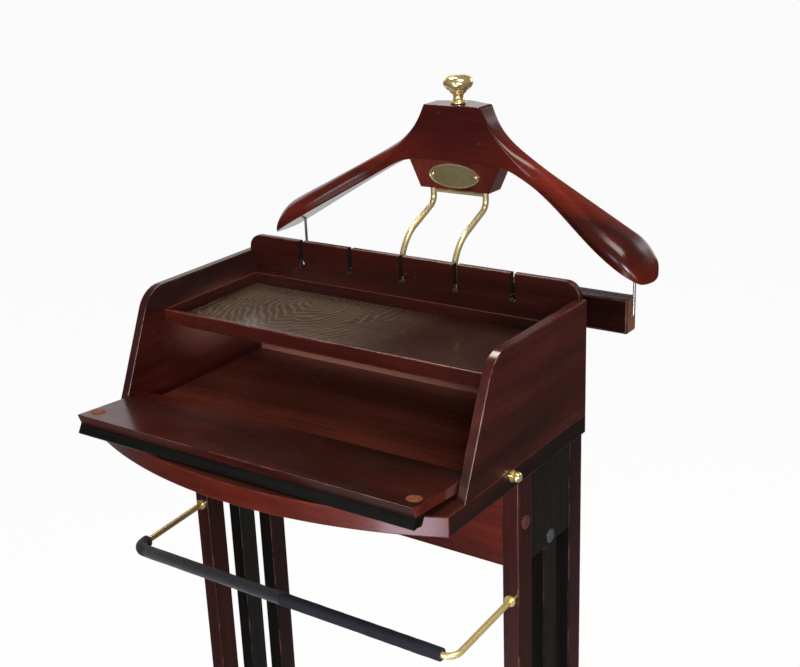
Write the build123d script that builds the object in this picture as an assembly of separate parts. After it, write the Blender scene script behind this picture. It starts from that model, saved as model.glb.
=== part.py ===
from build123d import *
import math
import os

# A valet stand: a bow-fronted organiser box with a fall-front door, carried on two slatted side frames,
# with a contour hanger and a hanging trouser bar on two bent posts behind it.
# Sizes are in millimetres. The layout frame has its origin on the base board's top face, midway between
# the side panels and level with their front corners: +X to the viewer's right, +Y to the back, +Z up.
# Each node is moved at the end, so that the stand's own origin is on the floor under the middle of its box.

# Overall
base_top_height = 825.0
edge_round = 1.2
fit_gap = 0.02
running_gap = 0.05

# Base board
box_width = 400.0
base_thickness = 19.0
base_overhang = 25.0
base_bow = 44.5

# Side panels
panel_thickness = 9.5
panel_depth = 217.0
panel_height = 113.0
panel_slant = 24.0
panel_front_radius = 30.0
panel_rear_radius = 3.0

# Back panel
back_thickness = 7.0
back_height = 129.5
back_corner_radius = 15.0
back_rabbet_share = 0.58
back_screw_length = 20.0
slot_count = 5
slot_pitch = 63.0
slot_width = 4.6
slot_depth = 24.5
slot_hole_diameter = 7.2

# Tray
tray_front = 67.0
tray_rim_top = 87.5
tray_depth = 11.5
tray_bottom_thickness = 3.0
tray_rim_thickness = 3.0
tray_lip_thickness = 4.5
tray_groove_share = 0.32

# Fall-front door
door_depth = 89.0
door_thickness = 9.5
door_end_gap = 0.8
door_edge_bevel = 4.3
door_hinge_setback = 24.6
door_hinge_height = 9.0
door_hinge_edge = 3.5
door_rest_gap = 0.3
door_stop_gap = 0.4
door_pin_diameter = 4.0
door_pin_in_door = 14.0
door_pin_panel_share = 0.63
pull_height = 9.8
pull_depth = 14.0
pull_rake = 4.0
pull_rear_slope = 5.0
pull_groove = 1.2
pull_screw_diameter = 3.0
pull_screw_bite = 6.0
pull_screw_count = 3
pad_diameter = 14.0
pad_thickness = 0.8
pad_end_inset = 10.2
pad_edge_inset = 17.3

# Side frames
frame_inset = 2.5
frame_front = 92.0
stile_width = 17.0
stile_depth = 24.5
frame_gap = 24.5
slat_width = 15.5
slat_recess = 1.0
slat_lap_height = 40.0
slat_lap_thickness = 7.0
top_panel_height = 89.0
foot_height = 40.0
foot_width = 20.0
foot_length = 340.0
foot_front = -25.0
foot_end_radius = 24.0
glide_diameter = 16.0
glide_thickness = 3.0
glide_inset = 28.0
dowel_diameter = 8.0
dowel_depth = 14.0
panel_dowel_diameter = 5.0
panel_dowel_depth = 12.0
panel_dowel_count = 3
panel_dowel_pitch = 56.0
base_dowel_share = 0.42

# Rails between the frames
rail_thickness = 19.0
rail_setback = 2.0
middle_rail_width = 22.0
middle_rail_height = 22.0
middle_rail_drop = 70.0
lower_rail_thickness = 19.0
lower_rail_height = 60.0
lower_rail_rise = 120.0
bolt_diameter = 6.0
bolt_length = 52.0
bolt_head_diameter = 11.0
bolt_head_height = 3.0
cap_diameter = 13.5
cap_height = 2.8
cap_rim = 0.9
shoe_rod_diameter = 8.0
shoe_rod_socket = 10.0
shoe_rod_front_rise = 140.0
shoe_rod_rear_rise = 185.0

# Front bar
bar_rod_diameter = 6.0
bar_drop = 121.0
bar_reach = 98.5
bar_tilt = 3.8
bar_bend_radius = 11.0
bar_socket = 12.0
sleeve_diameter = 12.5
sleeve_right_gap = 0.5
sleeve_wrap = 5.0
ferrule_diameter = 11.0
ferrule_thickness = 2.4

# Belt pegs
peg_ball_diameter = 9.4
peg_reach = 4.8
peg_setback = 77.2
peg_drop = 6.2
peg_flange_diameter = 11.0
peg_flange_thickness = 1.2
peg_neck_diameter = 4.4
peg_tail_diameter = 3.0
peg_tail_length = 9.0

# Posts and their block
post_diameter = 6.35
post_spacing = 63.5
post_lower_setback = 40.5
post_upper_setback = 105.8
post_lower_drop = 46.4
post_upper_drop = 17.3
post_lower_radius = 45.0
post_upper_radius = 12.0
post_block_width = 104.0
post_block_margin = 13.5
post_block_bottom = 20.0
post_block_height = 55.0
post_socket_floor = 15.0
post_block_screw_diameter = 4.5
post_block_screw_length = 38.0
post_block_screw_head = 8.5
cross_bar_diameter = 4.0
cross_bar_drop = 4.5

# Neck block and plate
neck_front_lead = 9.5
neck_thickness = 23.0
neck_bottom_width = 83.0
neck_top_width = 109.0
neck_height = 30.0
neck_post_cover = 10.0
neck_screw_diameter = 4.5
neck_screw_length = 48.0
neck_screw_head = 8.5
neck_screw_spacing = 24.0
plate_width = 60.0
plate_height = 25.0
plate_thickness = 1.0
plate_rim_width = 1.1
plate_rim_height = 0.6
plate_pin_inset = 4.0
plate_pin_diameter = 2.0
plate_pin_length = 8.0
plate_pin_head = 4.4

# Hanger
hanger_width = 446.0
hanger_rise = 204.0
hanger_height = 57.7
hanger_top_width = 68.0
hanger_front_lead = 12.0
hanger_thickness = 19.5
hanger_bulge = 17.0
hanger_bulge_width = 22.0
hanger_arm_rise = 4.0
hanger_arm_reference = 90.0
hanger_top_slope = 0.544
hanger_under_slope = 0.5975
hanger_under_knee = 63.0
hanger_under_softness = 14.4
hanger_flank_run = 11.5
hanger_flare = 33.0
hanger_flare_start_share = 0.38
hanger_flare_end_share = 0.895
hanger_tip_run = 25.0
hanger_tip_drop = 25.0
hanger_tip_front = 22.0
hanger_tip_rear = 6.0
hanger_crown_round = 9.0
hanger_front_crown_run = 28.0
hanger_rear_crown_run = 70.0
hanger_edge_round = 1.5
hanger_tip_cut = 0.15

# Knob
knob_setback = 14.0
knob_height = 29.3
knob_diameter = 31.2
knob_head_height = 15.4
knob_neck_diameter = 10.6
knob_flange_diameter = 16.4
knob_flange_height = 3.0
stud_diameter = 5.0
stud_in_knob = 10.0
stud_in_hanger = 22.0

# Wires and trouser bar
wire_diameter = 3.0
wire_socket = 14.0
wire_drop = 52.9
wire_from_rear = 15.3
wire_bend_radius = 1.8
wire_end_gap = 0.2
wire_pin_length = 10.0
trouser_bar_end_inset = 23.0
trouser_bar_thickness = 20.0
trouser_bar_height = 36.0
trouser_bar_round = 2.5
trouser_bar_groove = 1.2
trouser_bar_groove_pitch = 4.0
trouser_bar_groove_count = 2

# Worked-out places
half_width = box_width / 2
inner_half = half_width - panel_thickness
base_bottom = -base_thickness
floor_level = -base_top_height
back_front = panel_depth - back_thickness
back_rabbet = back_rabbet_share * panel_thickness
tray_groove = tray_groove_share * panel_thickness
tray_floor = tray_rim_top - tray_depth
tray_under = tray_floor - tray_bottom_thickness
frame_outer = half_width - frame_inset
stile_centre = frame_outer - stile_width / 2
slat_outer = frame_outer - slat_recess
slat_front = frame_front + stile_depth + frame_gap
slat_middle = slat_front + stile_depth / 2
rear_front = slat_front + stile_depth + frame_gap
rear_middle = rear_front + stile_depth / 2
front_middle = frame_front + stile_depth / 2
top_panel_bottom = base_bottom - top_panel_height
foot_bottom = floor_level + glide_thickness
foot_top = foot_bottom + foot_height
bar_level = base_bottom - bar_drop
post_x = post_spacing / 2
post_lower_y = panel_depth + post_lower_setback
post_upper_y = panel_depth + post_upper_setback
post_block_top = post_block_bottom + post_block_height
post_block_depth = post_lower_setback + post_block_margin
neck_bottom = hanger_rise - neck_height
post_lower_corner = neck_bottom - post_lower_drop
post_upper_corner = neck_bottom - post_upper_drop
neck_front = post_upper_y - neck_front_lead
hanger_front = post_upper_y - hanger_front_lead
hanger_rear = hanger_front + hanger_thickness
hanger_half = hanger_width / 2
hanger_top = hanger_rise + hanger_height
hanger_arm_top = hanger_rise + hanger_arm_rise
hanger_flare_start = hanger_flare_start_share * hanger_half
hanger_flare_end = hanger_flare_end_share * hanger_half
hanger_top_half = hanger_top_width / 2
trouser_bar_y = hanger_rear - wire_from_rear
trouser_bar_half = hanger_half - trouser_bar_end_inset
wire_x = trouser_bar_half + wire_end_gap + wire_bend_radius
bow_front = -base_overhang - base_bow
depth_middle = (bow_front + hanger_rear + hanger_bulge) / 2


def block(x_range, y_range, z_range):
    """A box between two corners, given as ranges along X, Y and Z."""
    size = [high - low for low, high in (x_range, y_range, z_range)]
    middle = [(high + low) / 2 for low, high in (x_range, y_range, z_range)]
    return Pos(*middle) * Box(*size)


def eased(solid, radius=edge_round):
    """The solid with every edge rounded a little."""
    return fillet(solid.edges(), radius)


def rod(start, direction, diameter, length):
    """A round rod from a point along a direction."""
    plane = Plane(origin=start, z_dir=direction)
    return plane * Cylinder(diameter / 2, length, align=(Align.CENTER, Align.CENTER, Align.MIN))


def bent_rod(path, diameter):
    """A round rod swept along a path."""
    section = Plane(origin=path @ 0, z_dir=path % 0) * Circle(diameter / 2)
    return sweep(section, path=path)


def screw(start, direction, diameter, length, head_diameter):
    """A flat-headed screw: a conical head at its start, then the shank."""
    head_height = (head_diameter - diameter) / 2
    on_start = (Align.CENTER, Align.CENTER, Align.MIN)
    head = Cone(head_diameter / 2, diameter / 2, head_height, align=on_start)
    return Plane(origin=start, z_dir=direction) * head + rod(start, direction, diameter, length)


def group(pieces):
    """Several like pieces as one node of separate solids."""
    return Compound([piece.solid() for piece in pieces])


def mirrored(solid):
    """The same piece on the other side."""
    return mirror(solid, Plane.YZ)


def profile(points):
    """A flat face in the YZ plane from (y, z) corners."""
    return make_face(Polyline(*points, close=True))


def round_corner(face, point, radius):
    """The face with the corner nearest to a point rounded."""
    corner = face.vertices().sort_by_distance((*point, 0))[0]
    return fillet(corner, radius)


def along_x(face, low, high):
    """A YZ face drawn out along X between two places."""
    return extrude(Plane.YZ.offset(low) * face, high - low)


# Door geometry, about its hinge axis. The open door rests on the base with its pull strip, and closes
# until its free edge meets the tray's lip.
door_reach = door_depth - door_hinge_edge
door_half = inner_half - door_end_gap
pull_front = -door_reach + door_edge_bevel
pull_flat_rear = pull_front + pull_depth - pull_rear_slope
pull_under = door_thickness / 2 + pull_height
rest_arm = math.hypot(pull_flat_rear, pull_under)
rest_sine = (door_rest_gap - door_hinge_height) / rest_arm
door_tilt = math.degrees(math.asin(rest_sine) + math.atan2(pull_under, -pull_flat_rear))
stop_arm = math.hypot(door_reach, door_thickness / 2)
stop_run = tray_front - door_stop_gap - door_hinge_setback
door_lean = math.degrees(math.asin(stop_run / stop_arm) - math.atan2(door_thickness / 2, door_reach))
door_travel = 90 - door_tilt + door_lean


def on_door(solid):
    """A piece drawn about the hinge axis with the door level, put where the open door is."""
    return Pos(0, door_hinge_setback, door_hinge_height) * Rot(-door_tilt, 0, 0) * solid


def make_base_board():
    """The bow-fronted board that carries the box, with dowel holes above and below."""
    front = -base_overhang
    bow = ThreePointArc((-half_width, front), (0, bow_front), (half_width, front))
    right, left = (half_width, -half_width)
    rest = Polyline((right, front), (right, panel_depth), (left, panel_depth), (left, front))
    board = eased(extrude(Pos(0, 0, base_bottom) * make_face([bow, rest]), base_thickness))
    for hole in panel_dowel_rods(fit_gap) + frame_top_dowel_rods(fit_gap) + peg_tail_rods(fit_gap):
        board -= hole
    return board


def panel_dowel_rods(gap=0.0):
    """Dowels between the side panels and the base board."""
    bottom = -base_dowel_share * base_thickness - gap
    length = panel_dowel_depth + gap - bottom
    diameter = panel_dowel_diameter + 2 * gap
    x = half_width - panel_thickness / 2
    places = [peg_setback + panel_dowel_pitch * (index - 0.5) for index in range(panel_dowel_count)]
    return [rod((side * x, y, bottom), (0, 0, 1), diameter, length) for side in (-1, 1) for y in places]


def frame_top_dowel_rods(gap=0.0):
    """Dowels between the stiles' tops and the base board."""
    return dowels_at(base_bottom, (front_middle, rear_middle), base_dowel_share * base_thickness, gap)


def frame_foot_dowel_rods(gap=0.0):
    """Dowels between the foot rails and what stands on them."""
    return dowels_at(foot_top, (front_middle, slat_middle, rear_middle), dowel_depth, gap)


def dowels_at(level, places, above, gap):
    """Upright dowels across a joint at one level, on both sides."""
    bottom = level - dowel_depth - gap
    length = level + above + gap - bottom
    diameter = dowel_diameter + 2 * gap
    x = stile_centre
    return [rod((side * x, y, bottom), (0, 0, 1), diameter, length) for side in (-1, 1) for y in places]


def door_pin_rods(gap=0.0):
    """The door's two pivot pins, from inside the door's ends into the side panels."""
    start = door_half - door_pin_in_door
    length = door_pin_in_door + door_end_gap + door_pin_panel_share * panel_thickness + gap
    diameter = door_pin_diameter + 2 * gap
    place = (door_hinge_setback, door_hinge_height)
    return [rod((side * start, *place), (side, 0, 0), diameter, length) for side in (-1, 1)]


def make_side_panel():
    """The right side panel: slanted front, rabbet for the back panel, groove for the tray's bottom."""
    top_front = panel_height * math.tan(math.radians(panel_slant))
    face = profile([(0, 0), (panel_depth, 0), (panel_depth, panel_height), (top_front, panel_height)])
    face = round_corner(face, (top_front, panel_height), panel_front_radius)
    face = round_corner(face, (panel_depth, panel_height), panel_rear_radius)
    panel = along_x(face, inner_half, half_width)
    panel = fillet(panel.edges().filter_by(lambda edge: edge.center().Z > edge_round), edge_round)
    rabbet_x = (inner_half - edge_round, inner_half + back_rabbet)
    rabbet_z = (-edge_round, panel_height + edge_round)
    panel -= block(rabbet_x, (back_front, panel_depth + edge_round), rabbet_z)
    groove_y = (tray_front + tray_lip_thickness, panel_depth)
    panel -= block((inner_half - edge_round, inner_half + tray_groove), groove_y, (tray_under, tray_floor))
    for hole in panel_dowel_rods(fit_gap) + door_pin_rods(running_gap) + back_screws(fit_gap):
        panel -= hole
    return panel


def make_back_panel():
    """The back panel, with rounded top corners and keyhole slots open at the top."""
    half = inner_half + back_rabbet - fit_gap
    face = profile([(-half, 0), (half, 0), (half, back_height), (-half, back_height)])
    face = round_corner(face, (-half, back_height), back_corner_radius)
    face = round_corner(face, (half, back_height), back_corner_radius)
    panel = extrude(Plane.XZ.offset(-panel_depth) * face, back_thickness)
    panel = fillet(panel.edges().filter_by(lambda edge: edge.center().Z > edge_round), edge_round)
    hole_z = back_height - slot_depth
    for index in range(slot_count):
        x = (index - (slot_count - 1) / 2) * slot_pitch
        through = (back_front - edge_round, panel_depth + edge_round)
        panel -= block((x - slot_width / 2, x + slot_width / 2), through, (hole_z, back_height + edge_round))
        panel -= rod((x, through[0], hole_z), (0, 1, 0), slot_hole_diameter, through[1] - through[0])
    for hole in back_screws(fit_gap) + post_block_screws(fit_gap):
        panel -= hole
    return panel


def back_screws(gap=0.0):
    """Screws through the back panel's edges into the side panels' rabbets."""
    diameter = back_rabbet / 3 + gap
    head = back_rabbet * 0.7 + gap
    x = inner_half + back_rabbet / 2
    length = back_screw_length + gap
    places = [(side * x, panel_depth, panel_height * share) for side in (-1, 1) for share in (0.2, 0.5)]
    return [screw(place, (0, -1, 0), diameter, length, head) for place in places]


def make_tray():
    """The tray's pieces: bottom board, front lip, and the rim strips at its left, right and back."""
    inside_front = tray_front + tray_lip_thickness
    bottom_half = inner_half + tray_groove - fit_gap
    bottom = block((-bottom_half, bottom_half), (inside_front, back_front), (tray_under, tray_floor))
    lip_half = inner_half
    lip = block((-lip_half, lip_half), (tray_front, inside_front), (tray_under, tray_rim_top))
    lip = eased(lip, edge_round)
    rim_inner = inner_half - tray_rim_thickness
    rim_z = (tray_floor, tray_rim_top)
    right = block((rim_inner, inner_half), (inside_front, back_front), rim_z)
    back = block((-rim_inner, rim_inner), (back_front - tray_rim_thickness, back_front), rim_z)
    return {
        "tray_bottom": bottom,
        "tray_front_lip": lip,
        "tray_rim_right": right,
        "tray_rim_left": mirrored(right),
        "tray_rim_back": back,
    }


def make_door():
    """The fall-front door's pieces: panel, pull strip with its screws, corner pads and pivot pins."""
    half = door_thickness / 2
    rear = door_hinge_edge
    face = profile([(rear, -half), (rear, half), (-door_reach, half), (pull_front, -half)])
    panel = eased(along_x(face, -door_half, door_half), edge_round / 2)
    under = -pull_under
    groove_y = (pull_front - pull_rake + pull_flat_rear) / 2
    strip_face = profile([
        (pull_front, -half),
        (pull_front - pull_rake, under + pull_groove),
        (pull_front - pull_rake + pull_groove, under),
        (groove_y - pull_groove, under),
        (groove_y, under + pull_groove),
        (groove_y + pull_groove, under),
        (pull_flat_rear, under),
        (pull_front + pull_depth, -half),
    ])
    strip = along_x(strip_face, -door_half, door_half)
    screws = []
    for index in range(pull_screw_count):
        x = door_half * ((2 * index + 1) / pull_screw_count - 1)
        place = (x, groove_y, under + pull_groove)
        head = 2 * pull_screw_diameter
        length = pull_height - pull_groove + pull_screw_bite
        screws.append(screw(place, (0, 0, 1), pull_screw_diameter, length, head))
        hole = screw(place, (0, 0, 1), pull_screw_diameter + fit_gap, length + fit_gap, head + fit_gap)
        panel -= hole
        strip = strip - hole - rod(place, (0, 0, -1), head + fit_gap, 2 * pull_groove)
    pad_x = door_half - pad_end_inset
    pad_y = -door_reach + pad_edge_inset
    pads = [rod((side * pad_x, pad_y, half), (0, 0, 1), pad_diameter, pad_thickness) for side in (-1, 1)]
    panel = on_door(panel)
    for hole in door_pin_rods(fit_gap):
        panel -= hole
    return {
        "door_panel": panel,
        "door_pull": on_door(strip),
        "door_pull_screws": on_door(group(screws)),
        "door_pads": on_door(group(pads)),
        "door_pins": group(door_pin_rods()),
    }


def bolt(place):
    """A bolt through a frame into a rail's end, driven along -X from its place on the frame's outer face."""
    x, y, z = place
    head = rod((x, y, z), (-1, 0, 0), bolt_head_diameter, bolt_head_height)
    return head + rod((x - bolt_head_height, y, z), (-1, 0, 0), bolt_diameter, bolt_length)


def bolt_hole(place):
    """What a bolt clears away in the frame and the rail."""
    x, y, z = place
    head = rod((x + 1, y, z), (-1, 0, 0), bolt_head_diameter + 2 * fit_gap, bolt_head_height + 1)
    length = bolt_length + bolt_head_height + fit_gap
    return head + rod((x, y, z), (-1, 0, 0), bolt_diameter + 2 * fit_gap, length)


def cap(place):
    """A domed cover over a bolt's head, with a thin rim."""
    radius = cap_diameter / 2
    rise = cap_height - cap_rim
    ball_radius = (radius ** 2 + rise ** 2) / (2 * rise)
    half_way = math.asin(radius / ball_radius) / 2
    drop = ball_radius * (1 - math.cos(half_way))
    edge = Polyline((0, cap_height), (0, 0), (radius, 0), (radius, cap_rim))
    middle = (ball_radius * math.sin(half_way), cap_height - drop)
    dome = ThreePointArc((radius, cap_rim), middle, (0, cap_height))
    button = revolve(Plane.XZ * make_face([edge, dome]), Axis.Z)
    return Plane(origin=place, z_dir=(1, 0, 0)) * button


front_bolt_place = (frame_outer, front_middle, base_bottom - top_panel_height / 2)
middle_bolt_place = (slat_outer, slat_middle, base_bottom - middle_rail_drop - middle_rail_height / 2)
lower_bolt_place = (slat_outer, slat_middle, foot_top + lower_rail_rise - lower_rail_height / 2)


def bar_path(first_depth):
    """The front bar's line, from inside one stile round to the other, in its own tilted plane."""
    corners = [
        (stile_centre, first_depth),
        (stile_centre, -bar_reach),
        (-stile_centre, -bar_reach),
        (-stile_centre, first_depth),
    ]
    return FilletPolyline(*corners, radius=bar_bend_radius)


def on_bar(shape):
    """A piece drawn flat about the stiles' front faces, put at the front bar's height and tilt."""
    return Pos(0, frame_front, bar_level) * Rot(bar_tilt, 0, 0) * shape


def make_front_bar():
    """The bent rod, its sleeve, which has slid over the left bend, and the ferrules at the stiles."""
    rod_piece = bent_rod(bar_path(bar_socket), bar_rod_diameter)
    run_right = stile_centre - bar_bend_radius - sleeve_right_gap
    wrap_end = -bar_reach + bar_bend_radius + sleeve_wrap
    corners = [(run_right, -bar_reach), (-stile_centre, -bar_reach), (-stile_centre, wrap_end)]
    line = FilletPolyline(*corners, radius=bar_bend_radius)
    sleeve = bent_rod(line, sleeve_diameter) - bent_rod(line, bar_rod_diameter + 2 * running_gap)
    socket_start = (stile_centre, bar_socket + fit_gap, 0)
    socket = on_bar(rod(socket_start, (0, -1, 0), bar_rod_diameter + 2 * fit_gap, bar_reach / 2))
    ring_place = (stile_centre, frame_front, bar_level)
    ring = rod(ring_place, (0, -1, 0), ferrule_diameter, ferrule_thickness) - socket
    pieces = {
        "front_bar_rod": on_bar(rod_piece),
        "front_bar_sleeve": on_bar(sleeve),
        "front_bar_ferrules": group([ring, mirrored(ring)]),
    }
    return pieces, socket


def make_frames(bar_socket_hole):
    """The right-hand frame's pieces, each with its holes, and the same pieces on the left."""
    stile_x = (frame_outer - stile_width, frame_outer)
    slat_x = (slat_outer - slat_width, slat_outer)
    front = eased(block(stile_x, (frame_front, frame_front + stile_depth), (foot_top, base_bottom)))
    rear = eased(block(stile_x, (rear_front, rear_front + stile_depth), (foot_top, base_bottom)))
    slat = eased(block(slat_x, (slat_front, slat_front + stile_depth), (foot_top, top_panel_bottom)))
    panel = block(slat_x, (frame_front + stile_depth, rear_front), (top_panel_bottom, base_bottom))
    panel = eased(panel, edge_round / 2)
    lap_x = (slat_x[0], slat_x[0] + slat_lap_thickness)
    lap_y = (slat_front + edge_round, slat_front + stile_depth - edge_round)
    lap_z = (top_panel_bottom - edge_round, top_panel_bottom + slat_lap_height)
    slat += block(lap_x, lap_y, lap_z)
    panel -= block((lap_x[0] - edge_round, lap_x[1]), lap_y, lap_z)
    for hole in frame_top_dowel_rods(fit_gap) + frame_foot_dowel_rods(fit_gap) + shoe_rods(fit_gap):
        front -= hole
        rear -= hole
        slat -= hole
    front = front - bolt_hole(front_bolt_place) - bar_socket_hole
    panel -= bolt_hole(middle_bolt_place)
    slat = slat - bolt_hole(middle_bolt_place) - bolt_hole(lower_bolt_place)
    right = {"front_stile": front, "rear_stile": rear, "centre_slat": slat, "top_panel": panel}
    right["foot_rail"] = make_foot()
    pieces = {}
    for name, solid in right.items():
        pieces[name + "_right"] = solid
        pieces[name + "_left"] = mirrored(solid)
    return pieces


def make_foot():
    """The right foot rail, with rounded upper ends."""
    rear = foot_front + foot_length
    low, high = foot_bottom, foot_top
    face = profile([(foot_front, low), (rear, low), (rear, high), (foot_front, high)])
    face = round_corner(face, (foot_front, foot_top), foot_end_radius)
    face = round_corner(face, (rear, foot_top), foot_end_radius)
    foot = eased(along_x(face, stile_centre - foot_width / 2, stile_centre + foot_width / 2))
    for hole in frame_foot_dowel_rods(fit_gap):
        foot -= hole
    return foot


def make_glides():
    """Four round glides under the foot rails."""
    places = (foot_front + glide_inset, foot_front + foot_length - glide_inset)
    return group([
        rod((side * stile_centre, y, floor_level), (0, 0, 1), glide_diameter, glide_thickness)
        for side in (-1, 1)
        for y in places
    ])


def make_rails():
    """The three rails between the frames, bored for their bolts."""
    rail_y = (frame_front + rail_setback, frame_front + rail_setback + rail_thickness)
    stile_inner = frame_outer - stile_width
    slat_inner = slat_outer - slat_width
    front = block((-stile_inner, stile_inner), rail_y, (top_panel_bottom, base_bottom))
    middle_y = (slat_middle - middle_rail_width / 2, slat_middle + middle_rail_width / 2)
    middle_top = base_bottom - middle_rail_drop
    middle = block((-slat_inner, slat_inner), middle_y, (middle_top - middle_rail_height, middle_top))
    lower_y = (slat_middle - lower_rail_thickness / 2, slat_middle + lower_rail_thickness / 2)
    lower_top = foot_top + lower_rail_rise
    lower = eased(block((-slat_inner, slat_inner), lower_y, (lower_top - lower_rail_height, lower_top)))
    rails = {
        "front_rail": (eased(front, edge_round / 2), front_bolt_place),
        "middle_rail": (eased(middle), middle_bolt_place),
        "lower_rail": (lower, lower_bolt_place),
    }
    pieces = {}
    for name, (rail, place) in rails.items():
        hole = bolt_hole(place)
        button = cap(place)
        pieces[name] = rail - hole - mirrored(hole)
        one = bolt(place)
        pieces[name + "_bolts"] = group([one, mirrored(one)])
        pieces[name + "_caps"] = group([button, mirrored(button)])
    return pieces


def shoe_rods(gap=0.0):
    """Two round rods between the frames, low down, for shoes."""
    half = frame_outer - stile_width + shoe_rod_socket + gap
    diameter = shoe_rod_diameter + 2 * gap
    front = (-half, front_middle, foot_top + shoe_rod_front_rise)
    rear = (-half, rear_middle, foot_top + shoe_rod_rear_rise)
    return [rod(place, (1, 0, 0), diameter, 2 * half) for place in (front, rear)]


def peg_tail_rods(gap=0.0):
    """The belt pegs' tails, inside the base board's side edges."""
    length = peg_tail_length + gap
    diameter = peg_tail_diameter + 2 * gap
    return [
        rod((side * half_width, peg_setback, -peg_drop), (-side, 0, 0), diameter, length)
        for side in (-1, 1)
    ]


def make_peg():
    """The right belt peg: flange, neck and ball, with its tail."""
    place = (half_width, peg_setback, -peg_drop)
    flange = rod(place, (1, 0, 0), peg_flange_diameter, peg_flange_thickness)
    neck = rod(place, (1, 0, 0), peg_neck_diameter, peg_reach)
    ball = Pos(half_width + peg_reach, peg_setback, -peg_drop) * Sphere(peg_ball_diameter / 2)
    return flange + neck + ball + peg_tail_rods()[1]


def post_path():
    """The line of a post, in the YZ plane: up, back in a wide bend, and up again in a tight one."""
    corners = [
        (post_lower_y, post_block_bottom + post_socket_floor),
        (post_lower_y, post_lower_corner),
        (post_upper_y, post_upper_corner),
        (post_upper_y, hanger_rise - neck_post_cover),
    ]
    return Plane.YZ.offset(post_x) * FilletPolyline(*corners, radius=[post_lower_radius, post_upper_radius])


def post_block_screws(gap=0.0):
    """Screws through the back panel into the block behind it."""
    x = post_x / 2
    z = (post_block_bottom + post_block_top) / 2
    return [
        screw(
            (side * x, back_front, z),
            (0, 1, 0),
            post_block_screw_diameter + gap,
            post_block_screw_length + gap,
            post_block_screw_head + gap,
        )
        for side in (-1, 1)
    ]


def make_posts():
    """The two bent posts, the bar across them, and the block behind the back panel that they stand in."""
    post = bent_rod(post_path(), post_diameter)
    pair = [post, mirrored(post)]
    socket_bottom = post_block_bottom + post_socket_floor - fit_gap
    block_half = post_block_width / 2
    block_y = (panel_depth, panel_depth + post_block_depth)
    foot_block = eased(block((-block_half, block_half), block_y, (post_block_bottom, post_block_top)))
    for side in (-1, 1):
        start = (side * post_x, post_lower_y, socket_bottom)
        foot_block -= rod(start, (0, 0, 1), post_diameter + 2 * fit_gap, post_block_height)
    for hole in post_block_screws(fit_gap):
        foot_block -= hole
    bar_start = (-post_x, post_upper_y, neck_bottom - cross_bar_drop)
    bar = rod(bar_start, (1, 0, 0), cross_bar_diameter, post_spacing)
    for one in pair:
        bar -= one
    return {
        "hanger_post_right": pair[0],
        "hanger_post_left": pair[1],
        "post_cross_bar": bar,
        "post_block": foot_block,
        "post_block_screws": group(post_block_screws()),
    }


def neck_screws(gap=0.0):
    """Screws up through the neck block into the hanger."""
    x = neck_screw_spacing / 2
    y = neck_front + neck_thickness / 2
    return [
        screw(
            (side * x, y, neck_bottom),
            (0, 0, 1),
            neck_screw_diameter + gap,
            neck_screw_length + gap,
            neck_screw_head + gap,
        )
        for side in (-1, 1)
    ]


def plate_pins(gap=0.0):
    """The two pins that hold the oval plate, each with a low round head."""
    z = neck_bottom + neck_height / 2
    face_y = neck_front - plate_thickness
    pins = []
    for side in (-1, 1):
        place = (side * (plate_width / 2 - plate_pin_inset), face_y, z)
        shank = rod(place, (0, 1, 0), plate_pin_diameter + gap, plate_pin_length + gap)
        head = Pos(*place) * scale(Sphere(plate_pin_head / 2), by=(1, 0.5, 1))
        half_head = head - block(
            (place[0] - plate_pin_head, place[0] + plate_pin_head),
            (face_y, face_y + plate_pin_head),
            (z - plate_pin_head, z + plate_pin_head),
        )
        pins.append(shank + half_head)
    return pins


def make_neck(hanger):
    """The neck block under the hanger, its screws, the oval plate and the plate's pins."""
    low = neck_bottom_width / 2
    high = neck_top_width / 2
    end_z = hanger_underside(high)
    sides = Polyline((-high, end_z), (-low, neck_bottom), (low, neck_bottom), (high, end_z))
    top = ThreePointArc((-high, end_z), (0, hanger_underside(0)), (high, end_z))
    neck = extrude(Plane.XZ.offset(-neck_front) * make_face([sides, top]), -neck_thickness) - hanger
    socket_length = neck_height - neck_post_cover + fit_gap
    for side in (-1, 1):
        start = (side * post_x, post_upper_y, neck_bottom)
        neck -= rod(start, (0, 0, 1), post_diameter + 2 * fit_gap, socket_length)
    pin_holes = plate_pins(fit_gap)
    for hole in neck_screws(fit_gap) + pin_holes:
        neck -= hole
    oval = Ellipse(plate_width / 2, plate_height / 2)
    inner = Ellipse(plate_width / 2 - plate_rim_width, plate_height / 2 - plate_rim_width)
    plate = extrude(oval, plate_thickness) + extrude(oval - inner, plate_thickness + plate_rim_height)
    plate = Plane.XZ * plate
    plate = Pos(0, neck_front, neck_bottom + neck_height / 2) * plate
    for hole in pin_holes:
        plate -= hole
    return {
        "neck_block": neck,
        "neck_screws": group(neck_screws()),
        "oval_plate": plate,
        "plate_pins": group(plate_pins()),
    }


def tip_curve(x):
    """How far the arm's end has rounded off at a place along it, from 0 to 1."""
    reach = max(0.0, (x - hanger_half + hanger_tip_run) / hanger_tip_run)
    return 1 - math.sqrt(1 - min(reach, 1.0) ** 2)


def hanger_underside(run):
    """The height of the hanger's underside at a distance from its middle: level, then falling steadily."""
    past_knee = run - hanger_under_knee
    level_loss = math.hypot(hanger_under_knee, hanger_under_softness) - hanger_under_knee
    fall = past_knee + math.hypot(past_knee, hanger_under_softness) - level_loss
    return hanger_rise - hanger_under_slope * fall / 2


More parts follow.
